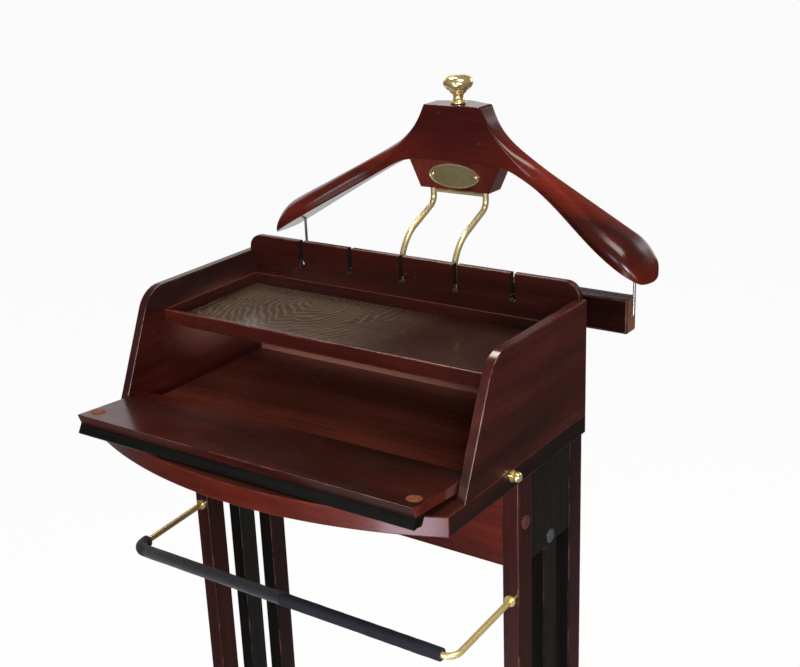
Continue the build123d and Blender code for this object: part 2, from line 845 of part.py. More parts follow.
def hanger_section(x):
    """An upright slice across the hanger at a distance from its middle: a rounded four-sided face."""
    run = abs(x)
    under = hanger_underside(run)
    arm_line = hanger_arm_top - hanger_top_slope * (run - hanger_arm_reference)
    shoulder_line = hanger_arm_top - hanger_top_slope * (hanger_top_half - hanger_arm_reference)
    flank = (hanger_top - shoulder_line) * math.exp((hanger_top_half - run) / hanger_flank_run)
    top = hanger_top if run <= hanger_top_half else arm_line + flank
    share = min(max((run - hanger_flare_start) / (hanger_flare_end - hanger_flare_start), 0.0), 1.0)
    front = hanger_front - hanger_flare * share * share * (3 - 2 * share)
    rear = hanger_rear + hanger_bulge / (1 + (run / hanger_bulge_width) ** 2)
    tip = tip_curve(run)
    top -= hanger_tip_drop * tip
    front += hanger_tip_front * tip
    rear -= hanger_tip_rear * tip
    crowns = []
    for crown_run in (hanger_rear_crown_run, hanger_front_crown_run):
        grown = min(max((run - hanger_top_half) / crown_run, 0.0), 1.0)
        crown = hanger_edge_round + (hanger_crown_round - hanger_edge_round) * grown
        crowns.append(min(crown, 0.42 * (top - under)))
    low = min(hanger_edge_round, 0.3 * (top - under))
    corners = [(front, under, low), (rear, under, low), (rear, top, crowns[0]), (front, top, crowns[1])]
    return rounded_slice(x, corners)


def rounded_slice(x, corners):
    """A face at one X from four (y, z, radius) corners, anticlockwise from the lower front one."""
    centre_y = (corners[0][0] + corners[1][0]) / 2
    centre_z = (corners[0][1] + corners[2][1]) / 2
    arcs = []
    for index, (y, z, radius) in enumerate(corners):
        inward_y = math.copysign(radius, centre_y - y)
        inward_z = math.copysign(radius, centre_z - z)
        beside = (x, y, z + inward_z)
        along = (x, y + inward_y, z)
        bulge = 1 - math.sqrt(0.5)
        middle = (x, y + inward_y * bulge, z + inward_z * bulge)
        ends = (beside, along) if index % 2 == 0 else (along, beside)
        arcs.append(ThreePointArc(ends[0], middle, ends[1]))
    edges = []
    for arc, following in zip(arcs, arcs[1:] + arcs[:1]):
        edges += [arc, Line(arc @ 1, following @ 0)]
    return make_face(edges)


def make_hanger():
    """The contour hanger: a thick middle with a flat top, and two arms that fall and flare forward."""
    middle = loft([hanger_section(x) for x in (-hanger_top_half, 0, hanger_top_half)])
    end = hanger_half - hanger_tip_cut
    start_run = hanger_flank_run
    tip_start = hanger_half - hanger_tip_run
    places = [hanger_top_half + start_run * step for step in (0, 0.5, 1, 1.6, 2.4, 3.4, 5)]
    last = places[-1]
    places += [last + (tip_start - last) * step / 4 for step in (1, 2, 3, 4)]
    places += [tip_start + (end - tip_start) * step for step in (0.3, 0.55, 0.75, 0.88, 0.96, 1)]
    arm = loft([hanger_section(x) for x in places])
    body = middle + arm + mirrored(arm)
    for hole in neck_screws(fit_gap) + [stud_rod(fit_gap)]:
        body -= hole
    for side in (-1, 1):
        start = (side * wire_x, trouser_bar_y, wire_top() + fit_gap)
        body -= rod(start, (0, 0, -1), wire_diameter + 2 * fit_gap, 2 * wire_socket)
    return body


def wire_top():
    """How high a wire reaches inside the hanger's arm."""
    return hanger_underside(wire_x) + wire_socket


def trouser_bar_pin_z():
    """The height of the wires' inward ends, which the trouser bar turns on."""
    return hanger_underside(wire_x) - wire_drop


def knob_place():
    """The middle of the knob's seat on the hanger's flat top."""
    return (0, hanger_front + knob_setback, hanger_top)


def stud_rod(gap=0.0):
    """The threaded stud between the knob and the hanger."""
    x, y, z = knob_place()
    bottom = z - stud_in_hanger - gap
    return rod((x, y, bottom), (0, 0, 1), stud_diameter + 2 * gap, stud_in_hanger + stud_in_knob + 2 * gap)


def make_knob():
    """The turned knob: flange, waisted neck and a flattened round head."""
    flange = knob_flange_diameter / 2
    neck = knob_neck_diameter / 2
    head = knob_diameter / 2
    head_half = knob_head_height / 2
    head_middle = knob_height - head_half
    waist_z = (knob_flange_height + head_middle) / 2
    low = knob_flange_height
    foot = Polyline((flange, head_middle), (0, head_middle), (0, 0), (flange, 0), (flange, low))
    waist = ThreePointArc((flange, low), (neck, waist_z), (flange, head_middle))
    turned = revolve(Plane.XZ * make_face([foot, waist]), Axis.Z)
    ball = Pos(0, 0, head_middle) * scale(Sphere(head), by=(1, 1, head_half / head))
    return Pos(*knob_place()) * (turned + ball) - stud_rod(fit_gap)


def make_wire():
    """The right wire: down from the hanger's arm, then bent inward into the trouser bar's end."""
    pin_z = trouser_bar_pin_z()
    corners = [(wire_x, wire_top()), (wire_x, pin_z), (trouser_bar_half - wire_pin_length, pin_z)]
    line = Plane.XZ.offset(-trouser_bar_y) * FilletPolyline(*corners, radius=wire_bend_radius)
    return bent_rod(line, wire_diameter)


def make_trouser_bar():
    """The bar that hangs on the wires' ends, grooved along its top."""
    half = trouser_bar_half
    pin_z = trouser_bar_pin_z()
    y_range = (trouser_bar_y - trouser_bar_thickness / 2, trouser_bar_y + trouser_bar_thickness / 2)
    top = pin_z + trouser_bar_height / 2
    bar = eased(block((-half, half), y_range, (pin_z - trouser_bar_height / 2, top)), trouser_bar_round)
    for index in range(trouser_bar_groove_count):
        y = trouser_bar_y + trouser_bar_groove_pitch * (index - (trouser_bar_groove_count - 1) / 2)
        groove = (y - trouser_bar_groove / 2, y + trouser_bar_groove / 2)
        bar -= block((-half - 1, half + 1), groove, (top - trouser_bar_groove, top + 1))
    for side in (-1, 1):
        start = (side * (half - wire_pin_length - 1), trouser_bar_y, pin_z)
        bar -= rod(start, (side, 0, 0), wire_diameter + 2 * running_gap, wire_pin_length + 2)
    return bar


def make_stand():
    """Every node of the stand, by name, in the layout frame."""
    side_panel = make_side_panel()
    bar_pieces, bar_socket_hole = make_front_bar()
    hanger = make_hanger()
    peg = make_peg()
    wire = make_wire()
    front_rod, rear_rod = shoe_rods()
    nodes = {
        "base_board": make_base_board(),
        "side_panel_right": side_panel,
        "side_panel_left": mirrored(side_panel),
        "back_panel": make_back_panel(),
        "back_panel_screws": group(back_screws()),
        "panel_dowels": group(panel_dowel_rods()),
        "frame_dowels": group(frame_top_dowel_rods() + frame_foot_dowel_rods()),
        "foot_glides": make_glides(),
        "shoe_rod_front": front_rod,
        "shoe_rod_rear": rear_rod,
        "belt_peg_right": peg,
        "belt_peg_left": mirrored(peg),
        "hanger": hanger,
        "hanger_knob": make_knob(),
        "knob_stud": stud_rod(),
        "bar_wire_right": wire,
        "bar_wire_left": mirrored(wire),
        "trouser_bar": make_trouser_bar(),
    }
    for pieces in (make_tray(), make_door(), bar_pieces, make_frames(bar_socket_hole), make_rails()):
        nodes.update(pieces)
    nodes.update(make_posts())
    nodes.update(make_neck(hanger))
    return nodes


os.makedirs("parts", exist_ok=True)
to_floor = Pos(0, -depth_middle, base_top_height)
for node_name, node_shape in make_stand().items():
    export_step(to_floor * node_shape, f"parts/{node_name}.step")
print(f"door open {door_tilt:.2f} degrees above level, closed {door_lean:.2f} degrees past upright, "
      f"travel {door_travel:.2f} degrees")
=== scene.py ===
"""Looks of a clothes valet stand: stained wood, black lacquer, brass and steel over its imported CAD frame."""

import logging
import math
from dataclasses import dataclass
from enum import Enum
from functools import reduce
from typing import ClassVar

import bmesh
import bpy
from mathutils import Matrix, Vector, noise


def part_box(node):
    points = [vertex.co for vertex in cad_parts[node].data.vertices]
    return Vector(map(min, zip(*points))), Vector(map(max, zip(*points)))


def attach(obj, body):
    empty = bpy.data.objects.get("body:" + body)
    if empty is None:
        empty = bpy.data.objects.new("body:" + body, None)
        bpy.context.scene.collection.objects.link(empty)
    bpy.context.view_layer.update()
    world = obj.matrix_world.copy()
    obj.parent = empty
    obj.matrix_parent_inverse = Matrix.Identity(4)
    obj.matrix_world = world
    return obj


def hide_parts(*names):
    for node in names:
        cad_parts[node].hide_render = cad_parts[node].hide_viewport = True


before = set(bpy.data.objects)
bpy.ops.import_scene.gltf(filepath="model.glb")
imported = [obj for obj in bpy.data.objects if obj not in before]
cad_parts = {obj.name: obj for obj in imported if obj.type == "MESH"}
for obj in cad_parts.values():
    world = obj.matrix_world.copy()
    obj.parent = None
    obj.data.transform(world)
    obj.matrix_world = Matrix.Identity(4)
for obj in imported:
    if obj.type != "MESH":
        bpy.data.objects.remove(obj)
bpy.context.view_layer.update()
LOG = logging.getLogger("valet_stand")
WELD = 2e-6
WHITE = (1.0, 1.0, 1.0, 1.0)
Colour = tuple[float, float, float]
Place = tuple[float, float, float]
Socket = bpy.types.NodeSocket
Material = bpy.types.Material
Piece = bpy.types.Object
Shape = bmesh.types.BMesh


class Grain(Enum):
    """The way the fibres run in a piece, as the turn that lays them along the pattern's X axis."""

    ACROSS = (0.0, 0.0, 0.0)
    DEEP = (0.0, 0.0, -math.pi / 2)
    UPRIGHT = (0.0, math.pi / 2, 0.0)


class Lay(Enum):
    """Where a piece stands: on the fixed frame, on the fall-front door, or on the hung bar."""

    STAND = "stand"
    DOOR = "door"
    BAR = "trouser_bar"


class Side(Enum):
    """The ways that flat faces look."""

    RIGHT = (1.0, 0.0, 0.0)
    LEFT = (-1.0, 0.0, 0.0)
    BACK = (0.0, 1.0, 0.0)
    FRONT = (0.0, -1.0, 0.0)
    TOP = (0.0, 0.0, 1.0)


@dataclass(frozen=True)
class Layer:
    """One layer of noise in a finish: its scale, even or along three axes, and how rich it is."""

    scale: float | Place
    detail: float = 2.0
    rough: float = 0.5
    warp: float = 0.0


class Bench:
    """Lays out and wires the nodes of one procedural material."""

    def __init__(self, name: str) -> None:
        """Starts an empty node tree under that name."""
        self.material = bpy.data.materials.new(name)
        self.material.use_nodes = True
        self.tree = self.material.node_tree
        self.tree.nodes.clear()
        self.place = self.node("ShaderNodeTexCoord").outputs["Object"]

    def node(self, kind: str, inputs: dict | None = None, **settings: object) -> bpy.types.Node:
        """Adds a node, sets its options, and sets or links its inputs.

        Args:
            kind: the node's Blender type.
            inputs: values or sockets by input name or number.
            settings: the node's own options.

        Returns:
            The new node.
        """
        made = self.tree.nodes.new(kind)
        for option, value in settings.items():
            setattr(made, option, value)
        for key, value in (inputs or {}).items():
            if isinstance(value, Socket):
                self.tree.links.new(value, made.inputs[key])
            else:
                made.inputs[key].default_value = value
        return made

    def maths(self, way: str, *values: Socket | float) -> Socket:
        """The outcome of one operation on numbers."""
        return self.node("ShaderNodeMath", dict(enumerate(values)), operation=way).outputs[0]

    def vectors(self, way: str, *values: Socket | Place, out: str = "Vector") -> Socket:
        """The outcome of one operation on vectors."""
        return self.node("ShaderNodeVectorMath", dict(enumerate(values)), operation=way).outputs[out]

    def span(self, value: Socket, source: tuple[float, float], target: tuple[Socket | float, Socket | float],
             soft: bool = False) -> Socket:
        """A value carried from one range into another, evenly or easing in and out softly."""
        return self.node("ShaderNodeMapRange", {
            "Value": value, "From Min": source[0], "From Max": source[1], "To Min": target[0], "To Max": target[1],
        }, interpolation_type="SMOOTHSTEP" if soft else "LINEAR").outputs[0]

    def mapped(self, scale: Place, turn: Place = (0.0, 0.0, 0.0), shift: Place = (0.0, 0.0, 0.0)) -> Socket:
        """The object's own coordinates, turned and shifted first and then stretched along the turned axes."""
        turned = self.node("ShaderNodeMapping", {"Vector": self.place, "Rotation": turn, "Location": shift})
        return self.node("ShaderNodeMapping", {"Vector": turned.outputs[0], "Scale": scale}).outputs[0]

    def layer(self, layer: Layer, turn: Place = (0.0, 0.0, 0.0), shift: Place = (0.0, 0.0, 0.0)) -> Socket:
        """The value of a layer of noise. A stretched layer is turned and shifted to lie along the piece."""
        even = isinstance(layer.scale, float)
        return self.node("ShaderNodeTexNoise", {
            "Vector": self.place if even else self.mapped(layer.scale, turn, shift),
            "Scale": layer.scale if even else 1.0,
            "Detail": layer.detail, "Roughness": layer.rough, "Distortion": layer.warp,
        }).outputs["Fac"]

    def ramp(self, value: Socket, *stops: tuple[float, float | Colour]) -> Socket:
        """A colour ramp over a value.

        Args:
            value: what drives the ramp.
            stops: places with a grey level or a colour each.

        Returns:
            The socket of the colour.
        """
        made = self.node("ShaderNodeValToRGB", {"Fac": value})
        elements = made.color_ramp.elements
        while len(elements) < len(stops):
            elements.new(0.5)
        for element, (place, shade) in zip(elements, stops):
            element.position = place
            rgb = (shade, shade, shade) if isinstance(shade, float) else shade
            element.color = (*rgb, 1.0)
        return made.outputs["Color"]

    def mix(self, share: Socket | float, under: Socket | Colour, over: Socket | Colour, way: str = "MIX") -> Socket:
        """A share of one colour laid over another, in a way of blending."""
        lower, upper = (tone if isinstance(tone, Socket) else (*tone, 1.0) for tone in (under, over))
        return self.node("ShaderNodeMix", {0: share, 6: lower, 7: upper}, data_type="RGBA", blend_type=way).outputs[2]

    def greatest(self, *values: Socket) -> Socket:
        """The greatest of several values."""
        return reduce(lambda most, value: self.maths("MAXIMUM", most, value), values)

    def sum(self, first: Socket, second: Socket, share: float) -> Socket:
        """The first value plus a share of the second."""
        return self.maths("MULTIPLY_ADD", second, share, first)

    def bump(self, height: Socket, depth: float, strength: float) -> Socket:
        """A surface normal pressed in by a height of that depth in metres, more or less strongly."""
        made = self.node("ShaderNodeBump", {"Height": height, "Distance": depth, "Strength": strength})
        return made.outputs["Normal"]

    def cells(self, scale: float) -> Socket:
        """The distance from the middle of small cells."""
        return self.node("ShaderNodeTexVoronoi", {"Vector": self.place, "Scale": scale}).outputs["Distance"]

    def eased_edge(self) -> Socket:
        """The mark of an eased edge on the piece."""
        return self.node("ShaderNodeAttribute", attribute_name="worn_edge").outputs["Fac"]

    def worn(self, rubbing: Layer, *stops: tuple[float, float]) -> Socket:
        """How far the eased edges are rubbed through."""
        return self.maths("MULTIPLY", self.eased_edge(), self.ramp(self.layer(rubbing), *stops))

    def close(self, inputs: dict) -> Material:
        """Ends the tree in one Principled shader with these inputs, and gives the material."""
        shader = self.node("ShaderNodeBsdfPrincipled", inputs)
        self.node("ShaderNodeOutputMaterial", {"Surface": shader.outputs["BSDF"]})
        return self.material


@dataclass(frozen=True)
class PaintedLightPatch:
    """A soft-edged patch of another tone laid over a finish, egg-shaped about its middle: painted light where it is
    paler, painted shade where it is darker.
    """

    middle: Place
    reach: Place
    tone: Colour
    share: float

    def over(self, bench: Bench, colour: Socket) -> Socket:
        """Lays the patch over a colour and gives the new one."""
        scaled = bench.vectors("DIVIDE", bench.vectors("SUBTRACT", bench.place, self.middle), self.reach)
        away = bench.vectors("LENGTH", scaled, out="Value")
        return bench.mix(bench.span(away, (0.0, 1.0), (self.share, 0.0), soft=True), colour, self.tone)


@dataclass(frozen=True)
class Finish:
    """A finish by its material's name. Each kind of finish also carries a slot name."""

    name: str

    def inputs(self, bench: Bench) -> dict:
        """What goes into the shader."""
        raise NotImplementedError

    def material(self) -> Material:
        """Builds the finish."""
        bench = Bench(self.name)
        return bench.close(self.inputs(bench))


@dataclass(frozen=True)
class StainedWood(Finish):
    """Red-brown stained hardwood under lacquer, with fibres, figure, pores, worn edges and dust, and painted light and
    shade laid on in places.
    """

    slot: ClassVar[str] = "mahogany"
    grain: Grain
    dark: Colour = (0.0110, 0.0022, 0.0018)
    mid: Colour = (0.0320, 0.0052, 0.0036)
    light: Colour = (0.0640, 0.0100, 0.0062)
    worn: Colour = (0.1350, 0.0480, 0.0330)
    dust: Colour = (0.34, 0.30, 0.27)
    polish: float = 0.20
    dull: float = 0.34
    coat: float = 0.24
    satin: float = 0.13
    relief: float = 0.00014
    shift: Place = (0.0, 0.0, 0.0)
    wear: tuple[float, float] = (0.46, 0.70)
    painted_light_patches: tuple[PaintedLightPatch, ...] = ()
    figure: Layer = Layer((1.7, 19.0, 19.0), 3.0, 0.55, 0.7)
    fibre: Layer = Layer((9.0, 230.0, 230.0), 5.0, 0.62)
    pores: Layer = Layer((70.0, 1300.0, 1300.0))
    uptake: Layer = Layer((3.0, 7.5, 7.5))
    smudge: Layer = Layer(11.0, 3.0, 0.6)
    rubbing: Layer = Layer(34.0, 4.0, 0.65)
    specks: Layer = Layer(620.0, 1.0, 0.4)

    def inputs(self, bench: Bench) -> dict:
        """What goes into the shader."""
        figure, fibre, pores, uptake = (
            bench.layer(layer, self.grain.value, self.shift)
            for layer in (self.figure, self.fibre, self.pores, self.uptake))
        broad = bench.ramp(figure, (0.26, self.dark), (0.50, self.mid), (0.76, self.light))
        streak = bench.ramp(fibre, (0.30, 0.62), (0.52, 0.95), (0.74, 1.24))
        blotch = bench.ramp(uptake, (0.30, 0.50), (0.52, 0.95), (0.72, 1.45))
        stained = bench.mix(0.75, bench.mix(1.0, broad, blotch, "MULTIPLY"), streak, "MULTIPLY")
        pitted = bench.ramp(pores, (0.62, 0.0), (0.72, 1.0))
        colour = bench.mix(bench.mix(0.55, (0.0, 0.0, 0.0), pitted), stained, self.dark)
        worn = bench.worn(self.rubbing, (self.wear[0], 0.0), (self.wear[1], 0.75))
        colour = bench.mix(worn, colour, self.worn)
        for patch in self.painted_light_patches:
            colour = patch.over(bench, colour)
        dusty = bench.ramp(bench.layer(self.specks), (0.795, 0.0), (0.83, 0.55))
        height = bench.sum(fibre, pitted, -0.45)
        return {
            "Base Color": bench.mix(dusty, colour, self.dust),
            "Roughness": bench.ramp(bench.layer(self.smudge), (0.30, self.polish), (0.72, self.dull)),
            "Normal": bench.bump(height, self.relief, 0.10), "Specular IOR Level": 0.20,
            "Coat Weight": self.coat, "Coat Roughness": self.satin, "Coat IOR": 1.45,
        }


@dataclass(frozen=True)
class FiguredPly(Finish):
    """Stained plywood with a cathedral figure under glossy lacquer, painted darker and redder towards the right as
    painted shade.
    """

    slot: ClassVar[str] = "plywood"
    dark: Colour = (0.0500, 0.0310, 0.0220)
    mid: Colour = (0.0660, 0.0420, 0.0300)
    light: Colour = (0.1120, 0.0770, 0.0500)
    right_shade: Colour = (0.0190, 0.0036, 0.0022)
    dust: Colour = (0.36, 0.32, 0.28)
    heart: Place = (0.082, -0.048, 0.0)
    stretch: Place = (0.9, 0.62, 0.0)
    rings: float = 56.0
    waver: float = 15.0
    right_shade_over: tuple[float, float] = (-0.03, 0.06)
    right_shade_share: float = 0.95
    fibre: Layer = Layer((14.0, 320.0, 320.0), 4.0, 0.6)
    smudge: Layer = Layer(13.0, 3.0, 0.6)
    specks: Layer = Layer(560.0, 1.0, 0.4)

    def inputs(self, bench: Bench) -> dict:
        """What goes into the shader."""
        rings = bench.node("ShaderNodeTexWave", {
            "Vector": bench.mapped(self.stretch, shift=self.heart), "Scale": self.rings, "Distortion": self.waver,
            "Detail": 2.2, "Detail Scale": 0.48, "Detail Roughness": 0.52,
        }, wave_type="RINGS", rings_direction="Z", wave_profile="SIN").outputs["Fac"]
        fibre = bench.layer(self.fibre)
        figure = bench.ramp(rings, (0.20, self.dark), (0.80, self.mid), (1.00, self.light))
        body = bench.mix(0.7, figure, bench.ramp(fibre, (0.30, 0.55), (0.70, 1.25)), "MULTIPLY")
        across = bench.node("ShaderNodeSeparateXYZ", {"Vector": bench.place}).outputs["X"]
        # Painted shade: the plywood turns darker and redder towards the right.
        stained = bench.mix(bench.span(across, self.right_shade_over, (0.0, self.right_shade_share)), body, self.right_shade)
        dusty = bench.ramp(bench.layer(self.specks), (0.785, 0.0), (0.82, 0.6))
        return {
            "Base Color": bench.mix(dusty, stained, self.dust),
            "Roughness": bench.ramp(bench.layer(self.smudge), (0.3, 0.22), (0.75, 0.32)),
            "Normal": bench.bump(bench.sum(rings, fibre, 0.45), 0.00010, 0.30), "Specular IOR Level": 0.5,
            "Coat Weight": 0.40, "Coat Roughness": 0.22, "Coat IOR": 1.5,
        }


@dataclass(frozen=True)
class BlackLacquer(Finish):
    """Satin black lacquer on wood, with the grain just showing through it."""

    slot: ClassVar[str] = "black_lacquer"
    grain: Grain
    deep: Colour = (0.0036, 0.0030, 0.0022)
    thin: Colour = (0.0115, 0.0098, 0.0070)
    gloss: float = 0.24
    coat: float = 0.08
    worn: Colour = (0.060, 0.052, 0.045)
    fibre: Layer = Layer((8.0, 210.0, 210.0), 5.0, 0.6)
    smudge: Layer = Layer(14.0, 3.0, 0.6)
    rubbing: Layer = Layer(40.0, 4.0, 0.65)

    def inputs(self, bench: Bench) -> dict:
        """What goes into the shader."""
        fibre = bench.layer(self.fibre, self.grain.value)
        body = bench.ramp(fibre, (0.34, self.deep), (0.74, self.thin))
        return {
            "Base Color": bench.mix(bench.worn(self.rubbing, (0.48, 0.0), (0.70, 0.6)), body, self.worn),
            "Roughness": bench.ramp(bench.layer(self.smudge), (0.3, 0.26), (0.72, 0.42)),
            "Normal": bench.bump(fibre, 0.0002, 0.22), "Specular IOR Level": self.gloss,
            "Coat Weight": self.coat, "Coat Roughness": 0.16,
        }


@dataclass(frozen=True)
class Metal(Finish):
    """Clear-lacquered metal, unevenly polished, with a tarnish and fine rubbing marks, and painted shade for dark
    reflections laid on in places.
    """

    slot: str
    bright: Colour
    tarnish: Colour
    polish: float = 0.13
    dull: float = 0.17
    purity: float = 0.86
    painted_light_patches: tuple[PaintedLightPatch, ...] = ()
    cloud: Layer = Layer(60.0)
    marks: Layer = Layer((900.0, 900.0, 160.0), 3.0, 0.6)

    def inputs(self, bench: Bench) -> dict:
        """What goes into the shader."""
        cloud = bench.layer(self.cloud)
        colour = bench.ramp(cloud, (0.34, self.tarnish), (0.58, self.bright))
        for patch in self.painted_light_patches:
            colour = patch.over(bench, colour)
        marked = bench.sum(cloud, bench.layer(self.marks), 0.08)
        return {
            "Base Color": colour, "Metallic": self.purity,
            "Roughness": bench.ramp(marked, (0.36, self.polish), (0.72, self.dull)),
        }


@dataclass(frozen=True)
class AgedPlate(Finish):
    """Antique brass plate, darkened on its field and rubbed bright on its rim."""

    slot: ClassVar[str] = "aged_brass"
    field_tone: Colour = (0.660, 0.540, 0.270)
    patina: Colour = (0.360, 0.285, 0.140)
    rim: Colour = (0.80, 0.68, 0.42)
    cloud: Layer = Layer(95.0, 5.0, 0.65)
    grit: Layer = Layer(2100.0)

    def inputs(self, bench: Bench) -> dict:
        """What goes into the shader."""
        cloud = bench.layer(self.cloud)
        fielded = bench.ramp(cloud, (0.30, self.patina), (0.64, self.field_tone))
        return {
            "Base Color": bench.mix(bench.eased_edge(), fielded, self.rim), "Metallic": 1.0,
            "Roughness": bench.ramp(cloud, (0.30, 0.46), (0.70, 0.30)),
            "Normal": bench.bump(bench.layer(self.grit), 0.00006, 0.35),
        }


@dataclass(frozen=True)
class SpongeRubber(Finish):
    """Matt foam rubber with fine open cells and a faint bloom."""

    slot: ClassVar[str] = "sleeve"
    body: Colour = (0.0024, 0.0032, 0.0056)
    bloom: Colour = (0.0062, 0.0080, 0.0160)
    cloud: Layer = Layer(70.0, 4.0, 0.65)
    cell_scale: float = 1500.0

    def inputs(self, bench: Bench) -> dict:
        """What goes into the shader."""
        cells, cloud = bench.cells(self.cell_scale), bench.layer(self.cloud)
        return {
            "Base Color": bench.ramp(bench.sum(cloud, cells, 0.25), (0.40, self.body), (0.86, self.bloom)),
            "Roughness": 0.78, "Normal": bench.bump(bench.sum(cells, cloud, 0.8), 0.00030, 0.5),
            "Specular IOR Level": 0.30, "Sheen Weight": 0.12, "Sheen Roughness": 0.45,
        }


@dataclass(frozen=True)
class MouldedPlastic(Finish):
    """Moulded plastic with a faint flow and handling marks."""

    slot: str
    body: Colour
    flow: Colour
    polish: float = 0.16
    dull: float = 0.30
    cloud: Layer = Layer(180.0, 3.0, 0.6)
    marks: Layer = Layer(1400.0)

    def inputs(self, bench: Bench) -> dict:
        """What goes into the shader."""
        cloud = bench.layer(self.cloud)
        return {
            "Base Color": bench.ramp(cloud, (0.32, self.body), (0.72, self.flow)),
            "Roughness": bench.ramp(cloud, (0.30, self.polish), (0.75, self.dull)),
            "Normal": bench.bump(bench.layer(self.marks), 0.00004, 0.2),
        }


@dataclass(frozen=True)
class BrownLeather(Finish):
    """Brown leather of the round pads, pebbled and a little worn."""

    slot: ClassVar[str] = "pad"
    body: Colour = (0.100, 0.026, 0.009)
    rubbed: Colour = (0.165, 0.047, 0.017)
    cloud: Layer = Layer(240.0, 4.0, 0.6)
    pebble_scale: float = 900.0

    def inputs(self, bench: Bench) -> dict:
        """What goes into the shader."""
        cloud = bench.layer(self.cloud)
        return {
            "Base Color": bench.ramp(cloud, (0.36, self.body), (0.68, self.rubbed)),
            "Roughness": bench.ramp(cloud, (0.3, 0.50), (0.7, 0.66)),
            "Normal": bench.bump(bench.cells(self.pebble_scale), 0.0002, 0.45), "Specular IOR Level": 0.15,
        }


